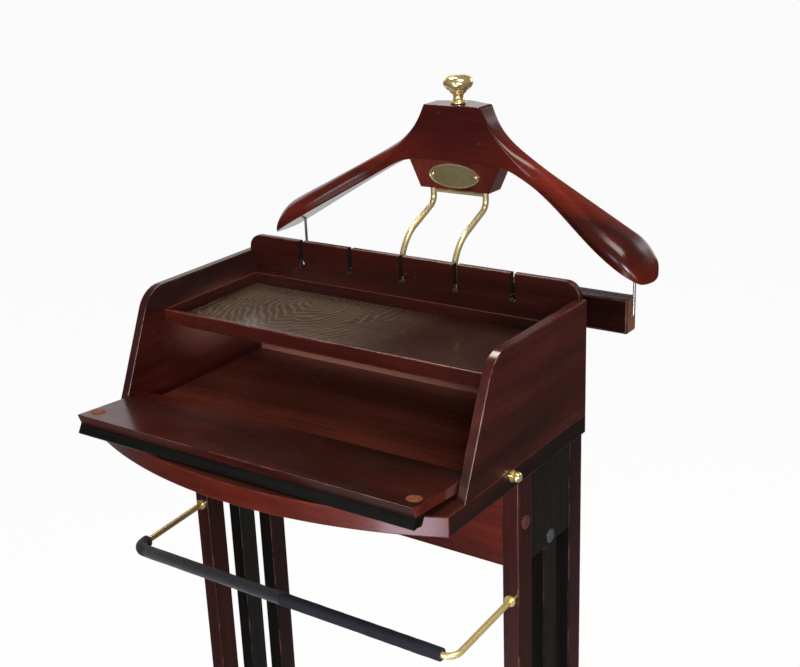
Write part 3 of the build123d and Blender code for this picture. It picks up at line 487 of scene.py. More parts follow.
@dataclass(frozen=True)
class Palette:
    """Every finish of the stand."""

    # The back panel's patch is painted light: a pale band along the foot of its front face, under the tray.
    across: Finish = StainedWood("mahogany_across", Grain.ACROSS, shift=(0.0, 0.11, 0.03), painted_light_patches=(
        PaintedLightPatch((-0.09, 0.0711, 0.826), (0.36, 0.004, 0.013), (0.30, 0.125, 0.095), 0.80),))
    # A brighter copy of the mahogany for the top of the base board: painted light in the compartment that the tray
    # shades. Its patch is a painted shadow along the front margin under the door.
    inside: Finish = StainedWood(
        "mahogany_inside_painted_light", Grain.ACROSS, (0.0770, 0.0180, 0.0108), (0.1420, 0.0325, 0.0190), (0.1920, 0.0470, 0.0265),
        painted_light_patches=(PaintedLightPatch((0.0, -0.165, 0.825), (0.60, 0.135, 0.005), (0.020, 0.006, 0.0045), 0.92),))
    # A brighter copy of the mahogany for the base board's front and the door's ends: painted light from the front. Its
    # patch is a painted shadow over the left of the base front, under the door and its pull.
    painted_light_across: Finish = StainedWood(
        "mahogany_painted_light", Grain.ACROSS, (0.045, 0.0056, 0.0032), (0.112, 0.0125, 0.0052), (0.170, 0.0215, 0.0085),
        painted_light_patches=(PaintedLightPatch((-0.20, -0.19, 0.815), (0.28, 0.20, 0.06), (0.026, 0.0040, 0.0030), 0.95),))
    # Tray rims: a strong rubbed colour over a wide eased-edge mark paints a light line along each thin rim top. This
    # is a painted highlight over real edge wear.
    rim_painted_highlight_across: Finish = StainedWood("mahogany_rim_across", Grain.ACROSS, wear=(0.18, 0.42))
    rim_painted_highlight_deep: Finish = StainedWood("mahogany_rim_deep", Grain.DEEP, wear=(0.18, 0.42))
    lip: Finish = StainedWood(
        "mahogany_lip", Grain.ACROSS, (0.026, 0.0036, 0.0024), (0.060, 0.0086, 0.0052), (0.100, 0.0145, 0.0080))
    dark_across: Finish = StainedWood(
        "mahogany_dark", Grain.ACROSS, (0.0060, 0.0020, 0.0017), (0.0135, 0.0034, 0.0029), (0.0300, 0.0060, 0.0045))
    end_grain: Finish = StainedWood(
        "mahogany_end", Grain.DEEP, (0.0050, 0.0017, 0.0013), (0.0120, 0.0032, 0.0024), (0.0260, 0.0058, 0.0040))
    # A matt, much brighter, orange copy of the mahogany for the trouser bar's end faces: the brightness is painted
    # light from the side.
    bar_end_painted_light: Finish = StainedWood(
        "mahogany_bar_end", Grain.DEEP, (0.085, 0.034, 0.018), (0.145, 0.062, 0.034), (0.210, 0.094, 0.054),
        coat=0.0, polish=0.5, dull=0.65)
    # A brighter copy of the side panels' mahogany, used for the right side panel and the foot rails: painted light on
    # the right panel's outer face.
    deep: Finish = StainedWood(
        "mahogany_deep", Grain.DEEP, (0.0170, 0.0034, 0.0026), (0.0480, 0.0082, 0.0056), (0.0860, 0.0140, 0.0088),
        shift=(0.31, 0.07, 0.0))
    # Left side panel: the first patch is painted light, a pale pink glow on the inner wall under the tray. The second
    # patch is painted shade that keeps the wall above the tray dark.
    deep_left_painted_glow: Finish = StainedWood("mahogany_deep_left", Grain.DEEP, shift=(0.17, 0.03, 0.0), painted_light_patches=(
        PaintedLightPatch((-0.1905, 0.004, 0.884), (0.006, 0.090, 0.048), (0.26, 0.090, 0.070), 0.9),
        PaintedLightPatch((-0.1905, -0.03, 0.928), (0.006, 0.16, 0.027), (0.010, 0.0040, 0.0050), 0.85)))
    upright: Finish = StainedWood(
        "mahogany_upright", Grain.UPRIGHT, (0.009, 0.0022, 0.002), (0.024, 0.0046, 0.0038), (0.048, 0.0086, 0.0062),
        shift=(0.0, 0.19, 0.05))
    # The hanger's patch is painted shade: it darkens the middle, where less light falls than on the arms.
    hanger: Finish = StainedWood(
        "mahogany_hanger", Grain.ACROSS, (0.018, 0.0030, 0.0024), (0.085, 0.0085, 0.0040), (0.150, 0.0155, 0.0068),
        polish=0.17, dull=0.24, coat=0.30, satin=0.20, relief=0.00002,
        painted_light_patches=(PaintedLightPatch((0.0, 0.150, 1.050), (0.13, 0.10, 0.075), (0.025, 0.0042, 0.0038), 0.86),))
    neck: Finish = StainedWood(
        "mahogany_neck", Grain.UPRIGHT, (0.030, 0.0050, 0.0035), (0.130, 0.0175, 0.0115), (0.200, 0.033, 0.019))
    beech: Finish = StainedWood(
        "beech_dowel", Grain.ACROSS, (0.28, 0.16, 0.075), (0.40, 0.24, 0.12), (0.50, 0.32, 0.17), (0.55, 0.37, 0.20),
        coat=0.0, polish=0.5, dull=0.65)
    ply: Finish = FiguredPly("stained_ply")
    black_across: Finish = BlackLacquer(
        "black_lacquer_across", Grain.ACROSS, (0.0022, 0.0020, 0.0015), (0.0070, 0.0060, 0.0045), 0.14, 0.03)
    black_upright: Finish = BlackLacquer("black_lacquer_upright", Grain.UPRIGHT)
    # A darker, duller copy of the black lacquer for faces that look into the gap between the stiles: painted shade.
    black_painted_shade: Finish = BlackLacquer(
        "black_lacquer_painted_shade", Grain.UPRIGHT, (0.0020, 0.0018, 0.0014), (0.0056, 0.0050, 0.0038), 0.10, 0.0)
    brass: Finish = Metal("polished_brass", "brass", (0.97, 0.80, 0.42), (0.86, 0.65, 0.27))
    # Two painted-shade areas on the drawn brass stand in for dark reflections: one darkens the left arm of the front
    # bar rod, the other greys the hanger posts and their cross bar.
    rod_brass: Finish = Metal(
        "drawn_brass", "brass", (1.0, 0.82, 0.36), (0.95, 0.73, 0.27), 0.26, 0.30, 0.70, painted_light_patches=(
            PaintedLightPatch((-0.189, -0.10, 0.690), (0.05, 0.14, 0.05), (0.20, 0.125, 0.060), 0.95),
            PaintedLightPatch((0.0, 0.15, 0.985), (0.12, 0.12, 0.12), (0.52, 0.43, 0.27), 0.95)))
    steel: Finish = Metal("drawn_steel", "steel", (0.78, 0.77, 0.75), (0.58, 0.57, 0.55), 0.16, 0.20)
    aged_brass: Finish = AgedPlate("aged_brass")
    foam: Finish = SpongeRubber("foam_sleeve")
    leather: Finish = BrownLeather("pad_leather")
    red_cap: Finish = MouldedPlastic("red_cap", "red_cap", (0.060, 0.017, 0.017), (0.098, 0.030, 0.028))
    grey_cap: Finish = MouldedPlastic("grey_cap", "grey_cap", (0.036, 0.037, 0.040), (0.062, 0.064, 0.068))
    glide: Finish = MouldedPlastic("glide_plastic", "glide", (0.010, 0.010, 0.010), (0.020, 0.020, 0.020), 0.4, 0.6)


@dataclass(frozen=True)
class BentRod:
    """A round rod along a bent line that lies in one plane. Lengths in metres."""

    corners: tuple[Place, ...]
    bends: tuple[float, ...]
    side: Place
    radius: float
    steps: int = 20
    turns: int = 40

    def line(self) -> list[tuple[Vector, Vector]]:
        """The line's places, each with the way it runs there.

        Returns:
            The places and ways, from end to end.
        """
        points = [Vector(corner) for corner in self.corners]
        path = [(points[0], (points[1] - points[0]).normalized())]
        for before, corner, after, bend in zip(points, points[1:], points[2:], self.bends):
            arrive = (corner - before).normalized()
            leave = (after - corner).normalized()
            inward = (leave - arrive.dot(leave) * arrive).normalized()
            turn = arrive.angle(leave)
            middle = corner - bend * math.tan(turn / 2) * arrive + bend * inward
            for step in range(self.steps + 1):
                swing = turn * step / self.steps
                place = middle + bend * (math.sin(swing) * arrive - math.cos(swing) * inward)
                path.append((place, math.cos(swing) * arrive + math.sin(swing) * inward))
        path.append((points[-1], (points[-1] - points[-2]).normalized()))
        return path

    def shape(self) -> Shape:
        """The rod's mesh: rings bridged along the line, closed at both ends.

        Returns:
            The mesh.
        """
        shape = bmesh.new()
        side = Vector(self.side)
        rings = []
        for place, way in self.line():
            square = Matrix((side, way.cross(side), way)).transposed().to_4x4()
            ring = bmesh.ops.create_circle(shape, segments=self.turns, radius=self.radius,
                                           matrix=Matrix.Translation(place) @ square)["verts"]
            rings.append(list({edge for vert in ring for edge in vert.link_edges}))
        for first, second in zip(rings, rings[1:]):
            bmesh.ops.bridge_loops(shape, edges=first + second)
        for end in (rings[0], rings[-1]):
            bmesh.ops.contextual_create(shape, geom=end)
        bmesh.ops.recalc_face_normals(shape, faces=shape.faces)
        return shape


def lathed(shape: Shape, outline: list[Place], centre: Place | Vector, turns: int) -> None:
    """Turns an outline all the way round the upright axis through a centre.

    Args:
        shape: the mesh that it is added to.
        outline: places from the axis at one end to the rim or the axis at the other.
        centre: a place on the axis.
        turns: steps of the full turn.
    """
    ring = [shape.verts.new(place) for place in outline]
    edges = [shape.edges.new(pair) for pair in zip(ring, ring[1:])]
    bmesh.ops.spin(shape, geom=ring + edges, axis=(0, 0, 1), cent=centre, angle=math.tau, steps=turns, use_merge=True)
    bmesh.ops.remove_doubles(shape, verts=shape.verts, dist=WELD)
    bmesh.ops.recalc_face_normals(shape, faces=shape.faces)


class Joiner:
    """Turns CAD nodes into finished pieces: welded, smoothed, edge-marked and dressed."""

    flat_angle: float = math.radians(0.3)
    facing: float = 0.9
    flat_weight: int = 80

    def __init__(self, palette: Palette) -> None:
        """Keeps the palette that pieces are dressed from, and each material once it is made."""
        self.palette = palette
        self.made: dict[str, Material] = {}

    def material(self, finish: Finish) -> Material:
        """The material of a finish, made at its first use."""
        if finish.name not in self.made:
            self.made[finish.name] = finish.material()
        return self.made[finish.name]

    def welded(self, node: str, eased: float | None = None) -> Shape:
        """A copy of a node, with its loose triangles joined.

        Args:
            node: CAD node name.
            eased: for a node with flat faces, which are made whole, the widest face that counts as an eased edge
                and is marked for the finishes to wear, in metres.

        Returns:
            The welded mesh.
        """
        shape = bmesh.new()
        shape.from_mesh(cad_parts[node].data)
        bmesh.ops.remove_doubles(shape, verts=shape.verts, dist=WELD)
        if eased:
            bmesh.ops.dissolve_limit(shape, angle_limit=self.flat_angle, verts=shape.verts, edges=shape.edges)
            mark = shape.faces.layers.float.new("worn_edge")
            for face in shape.faces:
                face[mark] = float(2.0 * face.calc_area() / face.calc_perimeter() < eased)
        return shape

    def publish(self, shape: Shape, name: str, node: str, finish: Finish, lay: Lay = Lay.STAND,
                crease: float = 50.0, even: bool = False) -> Piece:
        """Shades the mesh smooth and makes it a piece of the scene that stands for its CAD node.

        Args:
            shape: the finished mesh, which is freed.
            name: the piece's name.
            node: the CAD node that it stands for.
            finish: its finish.
            lay: the body that it rides on.
            crease: sharpest edge that is shaded smooth, in degrees.
            even: whether flat faces keep an even shade up to their eased edges.

        Returns:
            The piece.
        """
        for face in shape.faces:
            face.smooth = True
        for edge in shape.edges:
            edge.smooth = edge.calc_face_angle(0.0) < math.radians(crease)
        mesh = bpy.data.meshes.new(name)
        shape.to_mesh(mesh)
        shape.free()
        mesh.materials.append(self.material(finish))
        piece = bpy.data.objects.new(name, mesh)
        bpy.context.scene.collection.objects.link(piece)
        if even:
            shade = piece.modifiers.new("even_shade", "WEIGHTED_NORMAL")
            shade.keep_sharp = True
            shade.weight = self.flat_weight
        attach(piece, lay.value)
        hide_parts(node)
        LOG.info("%s: %d faces on %s", name, len(mesh.polygons), lay.value)
        return piece

    def dressed(self, node: str, finish: Finish, lay: Lay = Lay.STAND, crease: float = 40.0,
                eased: float = 0.0016) -> Piece:
        """Publishes a CAD node with its flat faces whole and its eased edges marked."""
        return self.publish(self.welded(node, eased), f"{node}_made", node, finish, lay, crease, even=True)

    def turned(self, node: str, finish: Finish, lay: Lay = Lay.STAND, crease: float = 50.0) -> Piece:
        """Publishes a CAD node that is round all over."""
        return self.publish(self.welded(node), f"{node}_made", node, finish, lay, crease)

    def drawn(self, rod: BentRod, node: str) -> Piece:
        """Publishes a brass rod drawn anew in the place of its CAD node."""
        return self.publish(rod.shape(), f"{node}_made", node, self.palette.rod_brass)

    def faced(self, piece: Piece, finish: Finish, *sides: Side) -> None:
        """Gives the faces that look certain ways a finish of their own.

        Args:
            piece: the piece.
            finish: the finish of those faces.
            sides: the ways.
        """
        piece.data.materials.append(self.material(finish))
        for face in piece.data.polygons:
            if any(face.normal.dot(Vector(side.value)) > self.facing for side in sides):
                face.material_index = len(piece.data.materials) - 1

    def stained(self, node: str, finish: Finish) -> None:
        """Leaves a hidden CAD node in place and gives it a finish."""
        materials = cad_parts[node].data.materials
        materials.clear()
        materials.append(self.material(finish))
        LOG.info("%s: kept, finish %s", node, finish.name)


class WorldBench(Bench):
    """A bench for the node tree of the world."""

    def __init__(self, world: bpy.types.World) -> None:
        """Starts from an empty world tree, read by direction."""
        world.use_nodes = True
        self.tree = world.node_tree
        self.tree.nodes.clear()
        self.place = self.node("ShaderNodeTexCoord").outputs["Generated"]


@dataclass(frozen=True)
class Lamp:
    """One soft square lamp: its name, place, side in metres, watts and tint."""

    name: str
    place: Place
    size: float
    power: float
    tint: Colour = (1.0, 1.0, 1.0)

    def hang(self, aim: Place) -> None:
        """Hangs the lamp so that it faces a place."""
        light = bpy.data.lights.new(self.name, "AREA")
        light.shape = "SQUARE"
        light.size = self.size
        light.energy = self.power
        light.color = self.tint
        lamp = bpy.data.objects.new(self.name, light)
        lamp.location = self.place
        lamp.rotation_euler = (Vector(aim) - Vector(self.place)).to_track_quat("-Z", "Y").to_euler()
        bpy.context.scene.collection.objects.link(lamp)


@dataclass(frozen=True)
class Studio:
    """Pale floor, soft lamps, white surround and the camera at the photograph's place."""

    floor_half: float = 25.0
    floor_tones: tuple[float, float] = (0.78, 0.80)
    floor_cloud: Layer = Layer(3.0, 3.0)
    camera_place: Place = (0.70108, -0.94249, 1.30960)
    yaw: float = 36.69
    pitch: float = -19.92
    roll: float = -2.89
    focal_share: float = 1293.75 / 800.0
    sensor: float = 36.0
    frame_shift: tuple[float, float] = (0.049, 0.0147)
    white_share: float = 0.95
    aim: Place = (0.0, -0.05, 0.88)
    sky_level: float = 0.24
    sky_dim: float = 0.12
    front_dim: float = 0.22
    floor_dim: float = 0.04
    board_top: Place = (-0.5, 0.0, -1.0)
    board_edge: tuple[float, float] = (-0.10, 0.0)
    behind_edge: tuple[float, float] = (0.05, 0.40)
    ahead_edge: tuple[float, float] = (0.20, 0.80)
    # Pools of painted light: places where the floor itself glows brighter, seen only in reflections.
    pools: tuple[tuple[Place, float, float], ...] = (
        ((-1.5, 1.4, 0.0), 1.9, 0.85), ((0.4, -3.0, 0.0), 1.6, 0.75), ((-0.15, -0.70, 0.0), 0.55, 0.60))
    pool_edge: tuple[float, float] = (0.3, 1.25)
    lamps: tuple[Lamp, ...] = (
        Lamp("key_lamp", (0.72, -0.20, 2.60), 0.80, 23.0, (1.0, 0.94, 0.84)),
        Lamp("ceiling_lamp", (-0.87, 0.62, 2.60), 0.70, 31.0, (1.0, 0.90, 0.76)),
        Lamp("near_lamp", (0.86, -1.20, 1.20), 0.35, 14.5),
        Lamp("window_lamp", (-0.30, -2.20, 1.38), 0.62, 8.5, (0.84, 0.92, 1.0)),
        Lamp("right_lamp", (2.00, -1.60, 1.02), 0.7, 10.0, (1.0, 0.95, 0.90)),
        Lamp("low_lamp", (0.15, -1.95, 0.45), 0.75, 3.0, (0.94, 0.96, 1.0)),
        Lamp("floor_lamp", (0.32, -1.28, 0.20), 0.35, 6.5, (0.96, 0.82, 1.0)),
        Lamp("back_lamp", (0.60, 2.50, 1.50), 1.0, 8.0))

    def floor(self) -> None:
        """Lays a wide pale floor that keeps the stand's shadow."""
        shape = bmesh.new()
        bmesh.ops.create_grid(shape, x_segments=1, y_segments=1, size=self.floor_half)
        mesh = bpy.data.meshes.new("pale_floor")
        shape.to_mesh(mesh)
        shape.free()
        bench = Bench("pale_floor")
        colour = bench.ramp(bench.layer(self.floor_cloud), (0.3, self.floor_tones[0]), (0.7, self.floor_tones[1]))
        matt = bench.node("ShaderNodeBsdfDiffuse", {"Color": colour})
        path = bench.node("ShaderNodeLightPath").outputs
        level = bench.span(path["Is Camera Ray"], (0.0, 1.0), (self.pool_light(bench), 1.0))
        white = bench.node("ShaderNodeEmission", {"Color": WHITE, "Strength": level})
        both = bench.node("ShaderNodeMixShader", {0: self.seen_rays(bench), 1: matt.outputs[0], 2: white.outputs[0]})
        bench.node("ShaderNodeOutputMaterial", {"Surface": both.outputs[0]})
        mesh.materials.append(bench.material)
        ground = bpy.data.objects.new("pale_floor", mesh)
        bpy.context.scene.collection.objects.link(ground)

    def pool_light(self, bench: Bench) -> Socket:
        """How bright the floor glows in mirrored rays: pools of painted light in the floor's own glow, on a dim
        ground.
        """
        start, end = self.pool_edge
        return bench.greatest(*(
            bench.span(bench.vectors("DISTANCE", bench.place, middle, out="Value"), (start * reach, end * reach),
                       (bright, self.floor_dim), soft=True)
            for middle, reach, bright in self.pools))

    def seen_rays(self, bench: Bench) -> Socket:
        """The floor's white share for rays that show the surround: seen directly, mirrored or through glass."""
        path = bench.node("ShaderNodeLightPath").outputs
        seen = bench.greatest(*(path[f"Is {kind} Ray"] for kind in ("Camera", "Glossy", "Transmission")))
        return bench.maths("MULTIPLY", seen, self.white_share)

    def surround(self) -> None:
        """A soft surround: white to the eye, and in mirrored rays a low white board behind the stand."""
        world = bpy.data.worlds.new("white_surround")
        bpy.context.scene.world = world
        bench = WorldBench(world)
        low, behind, ahead = (
            bench.span(bench.vectors("DOT_PRODUCT", bench.place, way, out="Value"), turn, level, soft=True)
            for way, turn, level in (
                (self.board_top, self.board_edge, (0.0, 1.0)),
                (Side.BACK.value, self.behind_edge, (0.0, 1.0)),
                (Side.FRONT.value, self.ahead_edge, (self.sky_dim, self.front_dim))))
        mirrored = bench.greatest(bench.maths("MULTIPLY", low, behind), ahead)
        path = bench.node("ShaderNodeLightPath").outputs
        soft = bench.span(path["Is Glossy Ray"], (0.0, 1.0), (self.sky_level, mirrored))
        level = bench.span(path["Is Camera Ray"], (0.0, 1.0), (soft, 1.0))
        sky = bench.node("ShaderNodeBackground", {"Color": WHITE, "Strength": level})
        bench.node("ShaderNodeOutputWorld", {"Surface": sky.outputs[0]})

    def camera(self) -> None:
        """Sets the camera at the photograph's place, angle and framing."""
        yaw, pitch, roll = (math.radians(angle) for angle in (self.yaw, self.pitch, self.roll))
        level = Matrix.Rotation(yaw, 4, "Z") @ Matrix.Rotation(math.pi / 2 + pitch, 4, "X")
        lens = bpy.data.cameras.new("photo_camera")
        lens.sensor_fit = "HORIZONTAL"
        lens.sensor_width = self.sensor
        lens.lens = self.sensor * self.focal_share
        lens.shift_x, lens.shift_y = self.frame_shift
        eye = bpy.data.objects.new("photo_camera", lens)
        eye.matrix_world = Matrix.Translation(self.camera_place) @ level @ Matrix.Rotation(roll, 4, "Z")
        bpy.context.scene.collection.objects.link(eye)
        bpy.context.scene.camera = eye

    def build(self) -> None:
        """Sets up floor, surround, lamps, camera and view."""
        self.floor()
        self.surround()
        for lamp in self.lamps:
            lamp.hang(self.aim)
        self.camera()
        bpy.context.scene.view_settings.view_transform = "Standard"


@dataclass
class SubAssembly:
    """A group of the stand's pieces, made by one joiner."""

    joiner: Joiner

    def build(self) -> None:
        """Makes and dresses the pieces."""
        raise NotImplementedError


@dataclass
class OrganiserBox(SubAssembly):
    """Bowed base board, slanted side panels and the slotted back panel. Lengths in metres."""

    slots_half: float = 0.135
    slots_foot: float = 0.920
    slots_top: float = 0.953
    slot_wall: float = 0.1
    back_eased: float = 0.0008

    def slot_walls(self, back: Piece) -> None:
        """Blackens the walls of the tie slots in the back panel."""
        back.data.materials.append(self.joiner.material(self.joiner.palette.black_upright))
        for face in back.data.polygons:
            across, _, up = face.center
            between = abs(across) < self.slots_half and self.slots_foot < up < self.slots_top
            if between and abs(face.normal.y) < self.slot_wall:
                face.material_index = 1

    def build(self) -> None:
        """Dresses the box's boards and the fastenings inside them."""
        join, woods = self.joiner, self.joiner.palette
        # The base board's front and top get brighter copies of the mahogany, which are painted light, with painted
        # shadow at the left of the front and under the door's front edge. Its ends are darker end grain.
        base = join.dressed("base_board", woods.painted_light_across)
        join.faced(base, woods.end_grain, Side.RIGHT, Side.LEFT)
        join.faced(base, woods.inside, Side.TOP)
        self.slot_walls(join.dressed("back_panel", woods.across, eased=self.back_eased))
        # The right panel's finish is a brighter copy, which is painted light. The left panel's finish carries a
        # painted glow and painted shade inside the compartment.
        for side, finish in (("left", woods.deep_left_painted_glow), ("right", woods.deep)):
            join.dressed(f"side_panel_{side}", finish)
            join.turned(f"belt_peg_{side}", woods.brass)
        join.dressed("back_panel_screws", woods.steel)
        join.stained("panel_dowels", woods.beech)


@dataclass
class Tray(SubAssembly):
    """Plywood bottom, front lip and thin rims."""

    # How wide a face still gets the rubbed edge colour on the rims: wide enough to cover their tops with the painted
    # highlight.
    rim_painted_highlight_band: float = 0.0032

    def build(self) -> None:
        """Dresses the tray."""
        join, woods = self.joiner, self.joiner.palette
        join.dressed("tray_bottom", woods.ply)
        join.dressed("tray_front_lip", woods.lip)
        for place, finish in (("back", woods.rim_painted_highlight_across), ("left", woods.rim_painted_highlight_deep), ("right", woods.rim_painted_highlight_deep)):
            join.dressed(f"tray_rim_{place}", finish, eased=self.rim_painted_highlight_band)


@dataclass
class FallFront(SubAssembly):
    """The door, its black pull strip and its two leather pads. Lengths in metres."""

    tilt: float = math.radians(4.61)
    pad_radius: float = 0.0070
    pad_crown: float = 0.0008
    pad_sunk: float = 0.4
    pad_turns: int = 40
    pad_outline: tuple[tuple[float, float], ...] = ((0.0, 1.0), (0.55, 0.98), (0.84, 0.86), (0.96, 0.55), (1.0, 0.0))

    def pads(self) -> Piece:
        """The two round pads, softly crowned, each turned up from its own profile.

        Returns:
            The piece.
        """
        low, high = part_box("door_pads")
        middle = (low + high) / 2
        lean = Matrix.Rotation(-self.tilt, 4, "X")
        shape = bmesh.new()
        for side in (low.x + self.pad_radius, high.x - self.pad_radius):
            outline = [(share * self.pad_radius, 0.0, rise * self.pad_crown) for share, rise in self.pad_outline]
            lathed(shape, outline, (0.0, 0.0, 0.0), self.pad_turns)
            fresh = [vert for vert in shape.verts if vert.co.length < 2 * self.pad_radius]
            seat = Matrix.Translation((side, middle.y, middle.z - self.pad_sunk * self.pad_crown))
            bmesh.ops.transform(shape, matrix=seat @ lean, verts=fresh)
        leather = self.joiner.palette.leather
        return self.joiner.publish(shape, "leather_pads", "door_pads", leather, Lay.DOOR, crease=70.0)

    def build(self) -> None:
        """Dresses the door."""
        join, woods = self.joiner, self.joiner.palette
        door = join.dressed("door_panel", woods.across, Lay.DOOR)
        # The door's end faces get the brighter copy of the mahogany: painted light.
        join.faced(door, woods.painted_light_across, Side.RIGHT, Side.LEFT)
        join.dressed("door_pull", woods.black_across, Lay.DOOR)
        join.dressed("door_pull_screws", woods.steel, Lay.DOOR)
        join.turned("door_pins", woods.steel, Lay.DOOR)
        self.pads()


@dataclass
class SideFrames(SubAssembly):
    """Stiles, slats, panels, rails, feet and shoe rods below the box."""

    cap_crease: float = 60.0

    def build(self) -> None:
        """Dresses both side frames and what joins them."""
        join, woods = self.joiner, self.joiner.palette
        for side in ("left", "right"):
            join.dressed(f"front_stile_{side}", woods.upright)
            stile = join.dressed(f"rear_stile_{side}", woods.upright)
            # Faces towards the gap between the stiles get the darker black, which is painted shade. On the rear stile
            # it also blackens the mahogany front face.
            join.faced(stile, woods.black_painted_shade, Side.FRONT)
            slat = join.dressed(f"centre_slat_{side}", woods.black_upright)
            join.faced(slat, woods.black_painted_shade, Side.BACK, Side.FRONT)
            join.dressed(f"top_panel_{side}", woods.black_upright)
            join.dressed(f"foot_rail_{side}", woods.deep)
        caps = {"front_rail": woods.red_cap, "middle_rail": woods.grey_cap, "lower_rail": woods.grey_cap}
        for rail in caps:
            join.dressed(rail, woods.lip)
        for rail, finish in caps.items():
            join.turned(f"{rail}_caps", finish, crease=self.cap_crease)
        for end in ("front", "rear"):
            join.turned(f"shoe_rod_{end}", woods.rod_brass)
        join.dressed("foot_glides", woods.glide)
        for rail in caps:
            join.stained(f"{rail}_bolts", woods.steel)
        join.stained("frame_dowels", woods.beech)


@dataclass
class FrontBar(SubAssembly):
    """Bent brass rod with a foam sleeve that has slid round the left bend. Lengths in metres."""

    start: float = 0.1775
    bend_at: float = -0.1780
    bend_radius: float = 0.0110
    past_bend: float = 0.0050
    plane: tuple[float, float] = (-0.0469, 0.6850)
    reach: float = 0.0985
    droop: float = math.radians(3.8)
    socket: float = 0.0120
    rod: float = 0.0030
    bore: float = 0.00306
    wall: float = 0.00319
    softness: float = 0.0011
    rim_angle: float = 1.2
    unevenness: float = 0.00022
    lumps: float = 95.0
    runs: int = 96
    bend_steps: int = 14
    turns: int = 40

    def leaning(self) -> Matrix:
        """The move that lays the bar, drawn flat, at its height and droop on the stiles."""
        return Matrix.Translation((0.0, *self.plane)) @ Matrix.Rotation(self.droop, 4, "X")

    def sleeve(self) -> Piece:
        """The sleeve: a ring drawn along the bar and round the bend, softened at its ends and a little uneven.

        Returns:
            The piece.
        """
        shape = bmesh.new()
        square = Matrix.Translation((self.start, -self.reach, 0.0)) @ Matrix.Rotation(math.pi / 2, 4, "Y")
        rims = [bmesh.ops.create_circle(shape, segments=self.turns, radius=radius, matrix=square)["verts"]
                for radius in (self.bore, self.bore + self.wall)]
        edges = {edge for rim in rims for vert in rim for edge in vert.link_edges}
        front = bmesh.ops.bridge_loops(shape, edges=list(edges))["faces"]
        step = (self.bend_at - self.start) / self.runs
        for _ in range(self.runs):
            front = self.drawn(shape, front, step, 0.0)
        corner = (self.bend_at, self.bend_radius - self.reach, 0.0)
        ends = {item for face in front for item in (face, *face.edges, *face.verts)}
        turned = bmesh.ops.spin(shape, geom=list(ends), cent=corner, axis=(0, 0, 1), angle=-math.pi / 2,
                                steps=self.bend_steps)
        front = [item for item in turned["geom_last"] if isinstance(item, bmesh.types.BMFace)]
        self.drawn(shape, front, 0.0, self.past_bend)
        bmesh.ops.remove_doubles(shape, verts=shape.verts, dist=WELD)
        bmesh.ops.recalc_face_normals(shape, faces=shape.faces)
        rims = [edge for edge in shape.edges if edge.calc_face_angle(0.0) > self.rim_angle]
        bmesh.ops.bevel(shape, geom=rims, offset=self.softness, segments=3, profile=0.5, affect="EDGES", material=-1)
        for vert in shape.verts:
            vert.co += vert.normal * self.unevenness * noise.noise(vert.co * self.lumps)
        bmesh.ops.transform(shape, matrix=self.leaning(), verts=shape.verts)
        return self.joiner.publish(shape, "foam_sleeve", "front_bar_sleeve", self.joiner.palette.foam, crease=60.0)

    def drawn(self, shape: Shape, front: list[bmesh.types.BMFace], across: float,
              back: float) -> list[bmesh.types.BMFace]:
        """Draws the tube's end out by one step.

        Args:
            shape: the tube.
            front: the faces of its end.
            across: step along X.
            back: step along Y.

        Returns:
            The faces of its new end.
        """
        grown = bmesh.ops.extrude_face_region(shape, geom=front)["geom"]
        verts = [item for item in grown if isinstance(item, bmesh.types.BMVert)]
        bmesh.ops.translate(shape, verts=verts, vec=(across, back, 0.0))
        return [item for item in grown if isinstance(item, bmesh.types.BMFace)]

    def build(self) -> None:
        """Draws the rod and its sleeve, and dresses the ferrules."""
        lean = self.leaning()
        far = self.bend_radius - self.bend_at
        flat = ((far, self.socket), (far, -self.reach), (-far, -self.reach), (-far, self.socket))
        corners = tuple(tuple(lean @ Vector((across, ahead, 0.0))) for across, ahead in flat)
        above = tuple(lean.to_3x3() @ Vector(Side.TOP.value))
        self.joiner.drawn(BentRod(corners, (self.bend_radius, self.bend_radius), above, self.rod), "front_bar_rod")
        self.joiner.turned("front_bar_ferrules", self.joiner.palette.brass)
        self.sleeve()


@dataclass
class HangerStem(SubAssembly):
    """Block, S-curved posts, cross bar and the neck block with its bare oval plate. Lengths in metres."""

    spread: float = 0.03175
    radius: float = 0.003175
    bends: tuple[tuple[float, float], ...] = ((0.1186, 0.860), (0.1186, 0.9526), (0.1839, 0.9817), (0.1839, 1.019))
    bend_radii: tuple[float, float] = (0.045, 0.012)
    plate_crease: float = 30.0
    plate_eased: float = 0.0013
    pin_crease: float = 60.0

    def build(self) -> None:
        """Draws the posts and dresses the rest of the stem."""
        join, woods = self.joiner, self.joiner.palette
        join.dressed("post_block", woods.across)
        join.dressed("post_block_screws", woods.steel)
        for side, across in (("left", -self.spread), ("right", self.spread)):
            corners = tuple((across, *place) for place in self.bends)
            join.drawn(BentRod(corners, self.bend_radii, Side.RIGHT.value, self.radius), f"hanger_post_{side}")
        join.turned("post_cross_bar", woods.rod_brass)
        join.dressed("neck_block", woods.neck)
        join.stained("neck_screws", woods.steel)
        join.dressed("oval_plate", woods.aged_brass, crease=self.plate_crease, eased=self.plate_eased)
        join.turned("plate_pins", woods.brass, crease=self.pin_crease)


